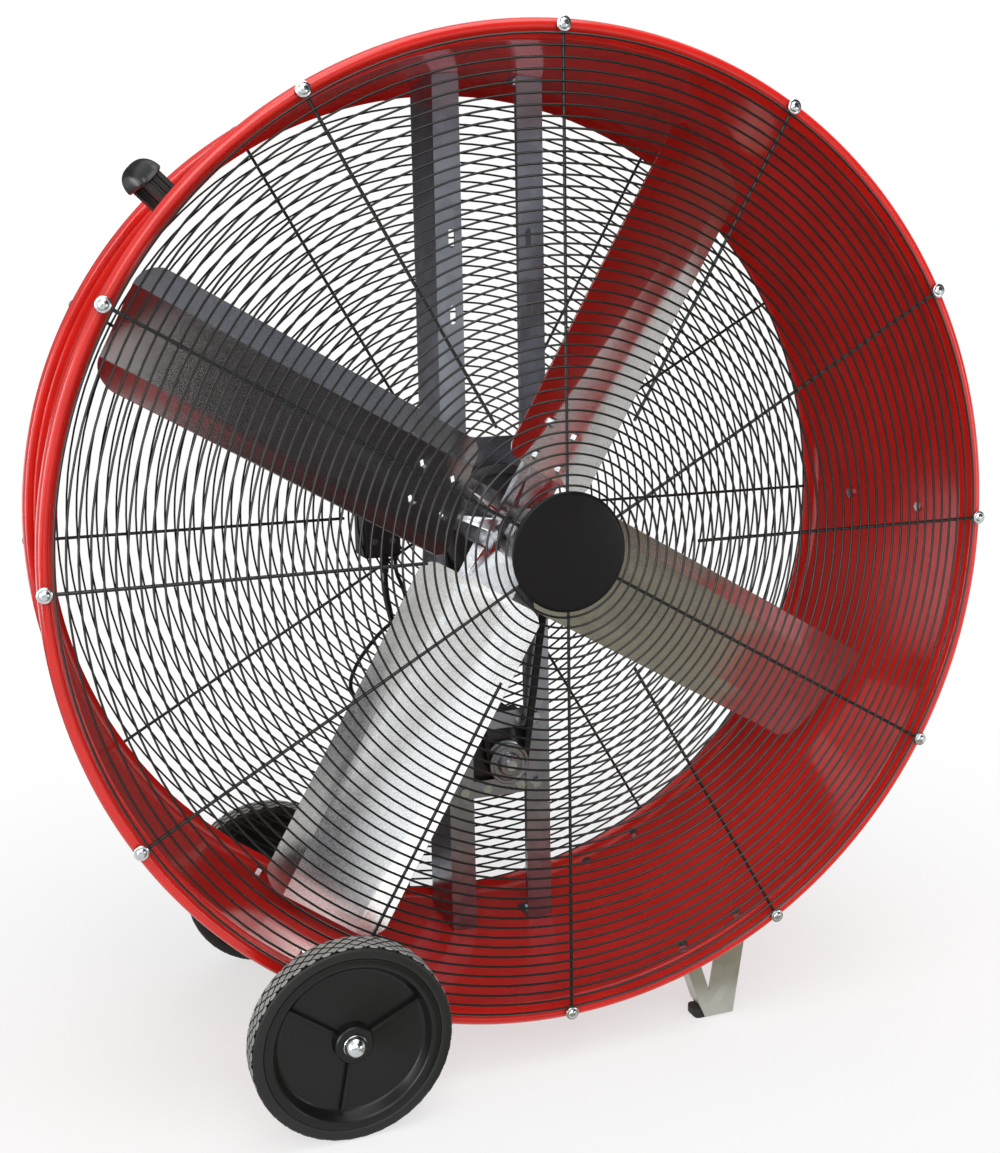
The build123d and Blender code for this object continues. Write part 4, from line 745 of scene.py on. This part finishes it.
def wheel_disc(name, way, node):
    """The moulded disc of one wheel, ribs on its outer side."""
    bm = bmesh.new()
    centre = (WHEEL_X, way * WHEEL_Y, WHEEL_R * MM)
    outline = [
        (8.2, 20.0), (22.4, 20.0), (24.0, 18.4), (24.4, 7.0), (25.6, 4.7), (28.0, 4.0),
        (89.0, 4.0), (92.4, 4.8), (94.6, 7.0), (99.2, 16.2), (100.6, 18.2), (103.0, 19.2),
        (110.4, 19.2), (111.4, 18.9), (111.8, 18.2), (111.8, -17.0), (110.4, -19.0),
        (102.6, -19.0), (100.6, -17.6), (96.0, -1.0), (24.4, -1.0), (24.0, -20.0), (8.2, -20.0)]
    spun(bm, [(r, way * y) for r, y in outline], steps=96, centre=centre)
    for angle in RIB_ANGLES:
        turned = angle if way < 0 else 180.0 - angle
        place = (Matrix.Translation(at_angle(turned, RIB_R, way * RIB_Y, centre))
                 @ Matrix.Rotation(math.radians(-turned), 4, "Y")
                 @ Matrix.Diagonal((RIB_LENGTH * MM, RIB_DEPTH * MM, RIB_WIDTH * MM, 1.0)))
        made = bmesh.ops.create_cube(bm, size=1.0, matrix=place)
        edges = list({edge for vert in made["verts"] for edge in vert.link_edges})
        bmesh.ops.bevel(bm, geom=edges, offset=RIB_EASE * MM, segments=2, profile=0.5,
                        affect="EDGES", material=-1)
    return make_piece(name, bm, f"{node.split('_')[0]}_wheel", "wheel_plastic", [node],
                      sharp=40.0)


wheel_disc("front_wheel_moulding", -1, "front_wheel_disc")
wheel_disc("rear_wheel_moulding", 1, "rear_wheel_disc")
print("wheel discs moulded")

# %% [markdown]
# A bright pressed cap with a dome covers each end of the axle, and a washer lies on each side of
# each wheel.

# %% Caps and washers
FACE_Y, WASHER_T, WASHER_GAP = 282.5, 2.5, 0.05
HUB_LENGTH = 40.0
OUTER_WASHER_R, INNER_WASHER_R = 14.6, 18.0
dome = [(0.0, 13.0), (3.4, 12.7), (6.6, 11.6), (9.6, 9.4), (11.9, 6.4), (13.3, 3.6), (14.0, 1.6),
        (14.0, 0.0), (8.2, 0.0), (8.2, 5.6), (0.0, 5.6)]
wheel_axis = (WHEEL_X, 0.0, WHEEL_R * MM)
bm = bmesh.new()
for way in (-1, 1):
    seat = FACE_Y + WASHER_GAP + WASHER_T
    spun(bm, [(r, way * (seat + y)) for r, y in dome], steps=40, centre=wheel_axis, closed=False)
    for near, edge in ((FACE_Y + WASHER_GAP, OUTER_WASHER_R),
                       (FACE_Y - HUB_LENGTH - WASHER_GAP - WASHER_T, INNER_WASHER_R)):
        washer = [(8.2, 0.0), (edge - 0.4, 0.0), (edge, 0.4), (edge, 2.1), (edge - 0.4, 2.5),
                  (8.2, 2.5)]
        spun(bm, [(r, way * (near + y)) for r, y in washer], steps=40, centre=wheel_axis)
make_piece("axle_caps", bm, "root", "zinc", ["axle_caps_and_washers"], sharp=40.0)
print("wheels ready")

# %% [markdown]
# ## Sheet, castings and plastic
#
# These parts already have their true shape in the measured model. A merged copy of each flat or
# square one gets a narrow bevel, because a real edge has a small radius, which catches the light.
# The round ones are only merged.

# %% Ease the edges of the remaining parts
eased_edges = {
    "strut_left": 0.5, "strut_right": 0.5, "bearing_plate_front": 0.5, "bearing_plate_rear": 0.5,
    "motor_straps": 0.5, "axle_bracket_front": 0.5, "axle_bracket_rear": 0.5,
    "front_leg": 0.5, "rear_leg": 0.5, "front_foot": 2.0, "rear_foot": 2.0,
    "switch_box": 1.5, "switch_cover": 1.0, "clamp_plate": 0.4,
    "blade_1": 0.3, "blade_2": 0.3, "blade_3": 0.3, "blade_4": 0.3,
}
for node, width in eased_edges.items():
    refined(node, bevel=width)
for node in ("front_leg", "rear_leg"):
    bpy.data.objects[node + "_finished"].data.materials[0] = leg_metal
round_parts = ("blade_hub", "bearing_front", "bearing_rear", "strain_relief", "speed_knob",
               "lead_grommets")
for node in round_parts:
    refined(node)
print("refined", len(eased_edges) + len(round_parts))

# %% [markdown]
# ## The belt drive
#
# The sheave on the fan's shaft and the small pulley on the motor are turned metal, so each is one
# spun outline with its groove. The belt is made the way it runs: its section is spun part of the
# way round each wheel, and the two open ends on each side are bridged.

# %% Spin the sheave and the pulley
BELT_Y = 43.0
motor_axis = (0.006, 0.0, 0.346)
fan_axis = (0.0, 0.0, AXIS_H)
bm = bmesh.new()
half_sheave = [(12.75, -9.0), (23.0, -9.0), (24.0, -8.2), (24.0, -3.6), (25.2, -2.5),
               (73.0, -2.5), (74.7, -4.0), (74.7, -8.4), (75.4, -9.0), (87.0, -9.0),
               (88.0, -8.2), (88.0, -6.65), (79.7, -4.45)]
sheave = half_sheave + [(r, -y) for r, y in half_sheave[::-1]]
spun(bm, [(r, BELT_Y + y) for r, y in sheave], steps=72)
make_piece("sheave_turned", bm, "fan", "cast_housing", ["driven_sheave"], sharp=40.0)
bm = bmesh.new()
pulley = [(8.1, -16.0), (15.6, -16.0), (17.0, -14.8), (17.0, -9.6), (18.2, -8.4), (24.6, -8.4),
          (26.2, -9.9), (29.8, -10.0), (31.0, -9.0), (31.0, -6.65), (22.7, -4.45), (22.7, 4.45),
          (31.0, 6.65), (31.0, 9.0), (29.8, 10.0), (8.1, 10.0)]
spun(bm, [(r, BELT_Y + y) for r, y in pulley], steps=56, centre=motor_axis)
make_piece("pulley_turned", bm, "motor_rotor", "pulley_metal", ["motor_pulley"], sharp=40.0)
print("wheels of the belt drive turned")

# %% Wrap the belt
BIG_INNER, BIG_OUTER = 80.3, 88.0      # the belt round the sheave
SMALL_INNER, SMALL_OUTER = 23.3, 31.0  # and round the pulley
RADIUS_DIFFERENCE = 57.0


def wrap(bm, centre, inner, outer, start, end, steps):
    """The belt's section spun from one angle to another. Returns the edges of its two ends."""
    corners = [(inner, -4.15), (outer, -6.35), (outer, 6.35), (inner, 4.15)]
    verts = [bm.verts.new(at_angle(start, r, BELT_Y + y, centre)) for r, y in corners]
    edges = [bm.edges.new((verts[i], verts[(i + 1) % 4])) for i in range(4)]
    made = bmesh.ops.spin(bm, geom=verts + edges, cent=centre, axis=(0, 1, 0),
                          angle=-math.radians(end - start), steps=steps, use_merge=False)
    return edges, [part for part in made["geom_last"] if isinstance(part, bmesh.types.BMEdge)]


drop = AXIS_H - motor_axis[2]
spread = math.hypot(motor_axis[0], drop)
down = math.degrees(math.atan2(-drop, motor_axis[0]))
swing = 90.0 - math.degrees(math.asin(RADIUS_DIFFERENCE * MM / spread))
bm = bmesh.new()
top_start, top_end = wrap(bm, fan_axis, BIG_INNER, BIG_OUTER, down + swing,
                          down - swing + 360.0, steps=48)
low_start, low_end = wrap(bm, motor_axis, SMALL_INNER, SMALL_OUTER, down - swing,
                          down + swing, steps=24)
bmesh.ops.bridge_loops(bm, edges=top_end + low_start)
bmesh.ops.bridge_loops(bm, edges=low_end + top_start)
make_piece("belt_wrapped", bm, "root", "belt_rubber", ["drive_belt"], sharp=30.0)
print("belt swing", round(swing, 2), "degrees each way")

# %% [markdown]
# ## The motor
#
# A motor of this kind is a rolled shell between two cast end bells. The shell gets its shallow
# cooling grooves in the outline that is spun. The four ears on the front bell are short bosses.

# %% Spin the bells and the shell
EAR_PLACES, EAR_R = ((-27, 60), (27, 60), (-27, -44), (27, -44)), 11.0
EAR_FROM, EAR_TO = 65.5, 96.0
GROOVES, GROOVE_STEP = 9, 6.2
bm = bmesh.new()
front_bell = [(8.1, 70.0), (27.6, 70.0), (30.4, 70.5), (56.6, 76.8), (60.2, 78.6), (64.4, 82.0),
              (66.4, 84.6), (67.0, 87.2), (67.0, 96.0), (8.1, 96.0)]
spun(bm, front_bell, steps=64, centre=motor_axis)
for x, z in EAR_PLACES:
    ear_x, ear_z = motor_axis[0] + x * MM, motor_axis[2] + z * MM
    bar(bm, Vector((ear_x, EAR_FROM * MM, ear_z)), Vector((ear_x, EAR_TO * MM, ear_z)),
        EAR_R * MM, sides=28)
make_piece("motor_bell_front", bm, "root", slot_of["motor_front_bell"], ["motor_front_bell"],
           merge=False)
bm = bmesh.new()
shell = [(60.0, 96.0)]
for groove in range(GROOVES):
    y = 96.0 + groove * GROOVE_STEP
    shell += [(65.5, y), (65.5, y + 4.2), (64.6, y + 4.5), (64.6, y + 5.9)]
shell += [(65.5, 151.8), (65.5, 152.0), (60.0, 152.0)]
spun(bm, shell, steps=64, centre=motor_axis, closed=False)
make_piece("motor_shell_ribbed", bm, "root", slot_of["motor_shell"], ["motor_shell"], sharp=40.0)
bm = bmesh.new()
rear_bell = [(0.0, 152.0), (66.0, 152.0), (67.0, 152.8), (67.0, 164.0), (66.2, 167.0),
             (61.4, 174.0), (58.6, 176.8), (55.0, 178.0), (22.0, 178.0), (20.6, 176.6),
             (0.0, 176.6)]
spun(bm, rear_bell, steps=64, centre=motor_axis, closed=False)
make_piece("motor_bell_rear", bm, "root", slot_of["motor_rear_bell"], ["motor_rear_bell"],
           sharp=40.0)
print("motor ready")

# %% [markdown]
# ## The carry handle
#
# The grip is moulded like a long mushroom cap on two fluted posts. It starts as a ball. A formula
# makes it an oblong with round corners, high on top, nearly flat beneath and drooping at both
# ends. It is made with its top towards X, then turned to its place on the drum.

# %% Shape the grip and the posts
HANDLE_ANGLE, HANDLE_Y = 135.5, -10.0
POST_FOOT, POST_GAP, POST_Y = 622.65, 0.05, 55.0
GRIP_R, GRIP_CROWN, GRIP_LIP, GRIP_DROOP = 667.0, 23.0, 4.5, 4.0
GRIP_HALF_LENGTH, GRIP_HALF_WIDTH = 74.0, 20.0
SQUARENESS, FULLNESS = 4, 0.8      # of the grip's plan
NEAR_POLE = 0.001                  # the ball isn't reshaped nearer to its pole
turn_to_place = (Matrix.Translation((0.0, HANDLE_Y * MM, AXIS_H))
                 @ Matrix.Rotation(math.radians(-HANDLE_ANGLE), 4, "Y"))
bm = bmesh.new()
made = bmesh.ops.create_uvsphere(bm, u_segments=48, v_segments=24, radius=1.0)
for vert in made["verts"]:
    across, along, height = vert.co
    around = math.hypot(across, along)
    corner = 1.0
    if around > NEAR_POLE:
        corner = (abs(across / around) ** SQUARENESS
                  + abs(along / around) ** SQUARENESS) ** (1 / SQUARENESS)
    plan = around ** FULLNESS / max(around, NEAR_POLE) / corner
    side, length = across * plan, along * plan
    rise = GRIP_CROWN * height if height > 0 else GRIP_LIP * height
    vert.co = ((GRIP_R + rise - GRIP_DROOP * length ** 4) * MM, GRIP_HALF_LENGTH * length * MM,
               GRIP_HALF_WIDTH * side * MM)
bmesh.ops.transform(bm, matrix=turn_to_place, verts=bm.verts)
make_piece("grip_moulding", bm, "root", "black_plastic", ["handle_grip"], sharp=50.0)
bm = bmesh.new()
flutes = [(-12, -11), (-6.5, -11), (-5.5, -8.6), (-2, -8.6), (-1, -11), (1, -11), (2, -8.6),
          (5.5, -8.6), (6.5, -11), (12, -11), (12, -5), (9.8, -4), (9.8, 4), (12, 5)]
outline = flutes + [(-x, -y) for x, y in flutes]
for way in (-1, 1):
    foot = bm.faces.new([bm.verts.new(((POST_FOOT + POST_GAP) * MM, (way * POST_Y + y) * MM,
                                       z * MM)) for z, y in outline])
    made = bmesh.ops.extrude_face_region(bm, geom=[foot])
    moved = [part for part in made["geom"] if isinstance(part, bmesh.types.BMVert)]
    bmesh.ops.translate(bm, verts=moved, vec=((GRIP_R - POST_FOOT - POST_GAP) * MM, 0.0, 0.0))
bmesh.ops.transform(bm, matrix=turn_to_place, verts=bm.verts)
make_piece("posts_fluted", bm, "root", "black_plastic", ["handle_posts"], sharp=30.0)
print("handle ready")

# %% [markdown]
# ## Floor, lights and background
#
# The fan stands on a pale floor under soft studio light. The floor near the fan keeps its shadow.
# Further out, and in the world behind, rays from the camera and from shiny surfaces meet plain
# white, so that the picture has a white ground without more light on the fan.

# %% Helper for what the camera and shiny surfaces see
def background_ray(tree):
    """1 for camera, glossy and transmission rays, 0 for the rest."""
    path = add(tree, "LightPath")
    first = add(tree, "Math", operation="MAXIMUM")
    second = add(tree, "Math", operation="MAXIMUM")
    connect(tree, (path, "Is Camera Ray", first, 0), (path, "Is Glossy Ray", first, 1),
            (first, "Value", second, 0), (path, "Is Transmission Ray", second, 1))
    return second.outputs["Value"]


# %% The floor
FADE_FROM, FADE_TO, FLOOR_R = 0.25, 1.7, 9.0   # metres from the middle
NEAR_WHITE = 0.62                  # the share of plain white where the fan stands
floor_material, tree, out = empty_material("pale_floor")
matt = add(tree, "BsdfDiffuse")
matt.inputs["Color"].default_value = (0.86, 0.86, 0.86, 1.0)
glow = add(tree, "Emission")
glow.inputs["Color"].default_value = (1.0, 1.0, 1.0, 1.0)
mix = add(tree, "MixShader")
distance = add(tree, "VectorMath", operation="LENGTH")
fade = add(tree, "MapRange", interpolation_type="SMOOTHSTEP")
fade.inputs["From Min"].default_value = FADE_FROM
fade.inputs["From Max"].default_value = FADE_TO
fade.inputs["To Min"].default_value = NEAR_WHITE
fade.inputs["To Max"].default_value = 1.0
both = add(tree, "Math", operation="MULTIPLY")
place = add(tree, "TexCoord")
connect(tree, (place, "Object", distance, 0), (distance, "Value", fade, "Value"),
        (fade, "Result", both, 0), (both, "Value", mix, "Fac"), (matt, "BSDF", mix, 1),
        (glow, "Emission", mix, 2), (mix, "Shader", out, "Surface"))
tree.links.new(background_ray(tree), both.inputs[1])

bm = bmesh.new()
bmesh.ops.create_circle(bm, cap_ends=True, segments=96, radius=FLOOR_R)
floor = object_of("floor", bm, floor_material)
print("floor laid")

# %% The world
SOFT_LIGHT = 0.45
world = bpy.data.worlds.new("studio")
bpy.context.scene.world = world
world.use_nodes = True
tree = world.node_tree
tree.nodes.clear()
out = add(tree, "OutputWorld")
soft = add(tree, "Background")
soft.inputs["Color"].default_value = (1.0, 1.0, 1.0, 1.0)
soft.inputs["Strength"].default_value = SOFT_LIGHT
white = add(tree, "Background")
white.inputs["Color"].default_value = (1.0, 1.0, 1.0, 1.0)
white.inputs["Strength"].default_value = 1.0
mix = add(tree, "MixShader")
tree.links.new(background_ray(tree), mix.inputs["Fac"])
connect(tree, (soft, "Background", mix, 1), (white, "Background", mix, 2),
        (mix, "Shader", out, "Surface"))
print("world", world.name)

# %% The lamps
LAMP_TARGET = (0.0, 0.0, 0.7)


def soft_lamp(name, place, width, height, watts):
    """A rectangular area lamp that faces the middle of the fan."""
    lamp_data = bpy.data.lights.new(name, "AREA")
    lamp_data.shape = "RECTANGLE"
    lamp_data.size, lamp_data.size_y = width, height
    lamp_data.energy = watts
    lamp = bpy.data.objects.new(name, lamp_data)
    turn = (Vector(LAMP_TARGET) - Vector(place)).to_track_quat("-Z", "Y")
    lamp.matrix_world = Matrix.Translation(place) @ turn.to_matrix().to_4x4()
    bpy.context.scene.collection.objects.link(lamp)
    return lamp


soft_lamp("key", (-1.0, -4.0, 3.1), 3.0, 2.6, 90.0)
soft_lamp("top", (0.0, -1.0, 3.8), 2.6, 2.6, 56.0)
soft_lamp("strip_right", (2.6, -3.1, 1.0), 0.5, 1.8, 20.0)
soft_lamp("strip_left", (-3.2, -1.3, 1.3), 0.7, 2.0, 12.0)
rear_lamp = soft_lamp("rear", (0.5, 3.4, 2.2), 2.6, 2.6, 25.0)
rear_lamp.visible_glossy = False
print("lamps", len(bpy.data.lights))

# %% [markdown]
# Bright sheet metal and enamel show what stands around them, so a photographer puts dark and
# bright cards there. They stand where the mirrored rays of this camera go. The drum's inside
# mirrors the ground and the wall behind, the upper left blade the far right, the lower left blade
# the front left, and the lower right blade the floor. The strip and the back card on the left
# give small highlights on wires, rolled edges, tyres and the grip. Only shiny surfaces see them.

# %% The cards
DARK_ROOM = (0.045, 0.04, 0.04)


def card(name, shade, middle, facing, width, height):
    """A plain card of one shade, seen only by glossy rays."""
    material, tree, out = empty_material(name)
    plain = add(tree, "Emission")
    plain.inputs["Color"].default_value = shade + (1.0,)
    tree.links.new(plain.outputs["Emission"], out.inputs["Surface"])
    bm = bmesh.new()
    turn = Vector(facing).to_track_quat("Z", "Y").to_matrix().to_4x4()
    place = Matrix.Translation(middle) @ turn @ Matrix.Diagonal((width, height, 1.0, 1.0))
    bmesh.ops.create_grid(bm, x_segments=1, y_segments=1, size=0.5, matrix=place)
    board = object_of(name, bm, material)
    board.visible_camera = board.visible_diffuse = board.visible_shadow = False


card("card_far_right", (0.030, 0.028, 0.033), (2.07, -1.88, 2.33), (-0.70, 0.56, -0.44), 4.6, 3.2)
card("card_right_blue", (0.16, 0.175, 0.22), (0.90, -2.57, 1.93), (-0.40, 0.86, -0.33), 0.95, 0.95)
card("card_left_pale", (1.85, 1.92, 2.02), (-1.68, -2.14, 1.1), (0.56, 0.82, -0.1), 0.95, 1.27)
card("card_left_white", (2.6, 2.6, 2.6), (-2.14, -1.87, 1.1), (0.75, 0.65, 0.0), 0.55, 1.5)
card("card_left_strip", (9.0, 9.1, 9.4), (-2.85, -1.42, 0.98), (0.88, 0.47, 0.0), 0.7, 1.85)
card("card_left_back", (2.6, 2.6, 2.7), (-2.2, 1.6, 0.55), (0.82, -0.57, 0.0), 2.2, 1.1)
card("card_low_left", (0.055, 0.06, 0.08), (-1.53, -3.13, 0.225), (0.39, 0.92, 0.0), 2.7, 0.45)
card("card_floor_warm", (0.40, 0.38, 0.29), (0.45, -0.85, 0.004), (0.0, 0.0, 1.0), 1.3, 1.2)
card("card_behind", DARK_ROOM, (-0.6, 2.8, 1.98), (0.0, -1.0, 0.0), 6.4, 3.95)
card("card_floor_behind", DARK_ROOM, (-0.2, 1.65, 0.004), (0.0, 0.0, 1.0), 5.0, 2.3)

# %% A plain view transform
bpy.context.scene.view_settings.view_transform = "Standard"
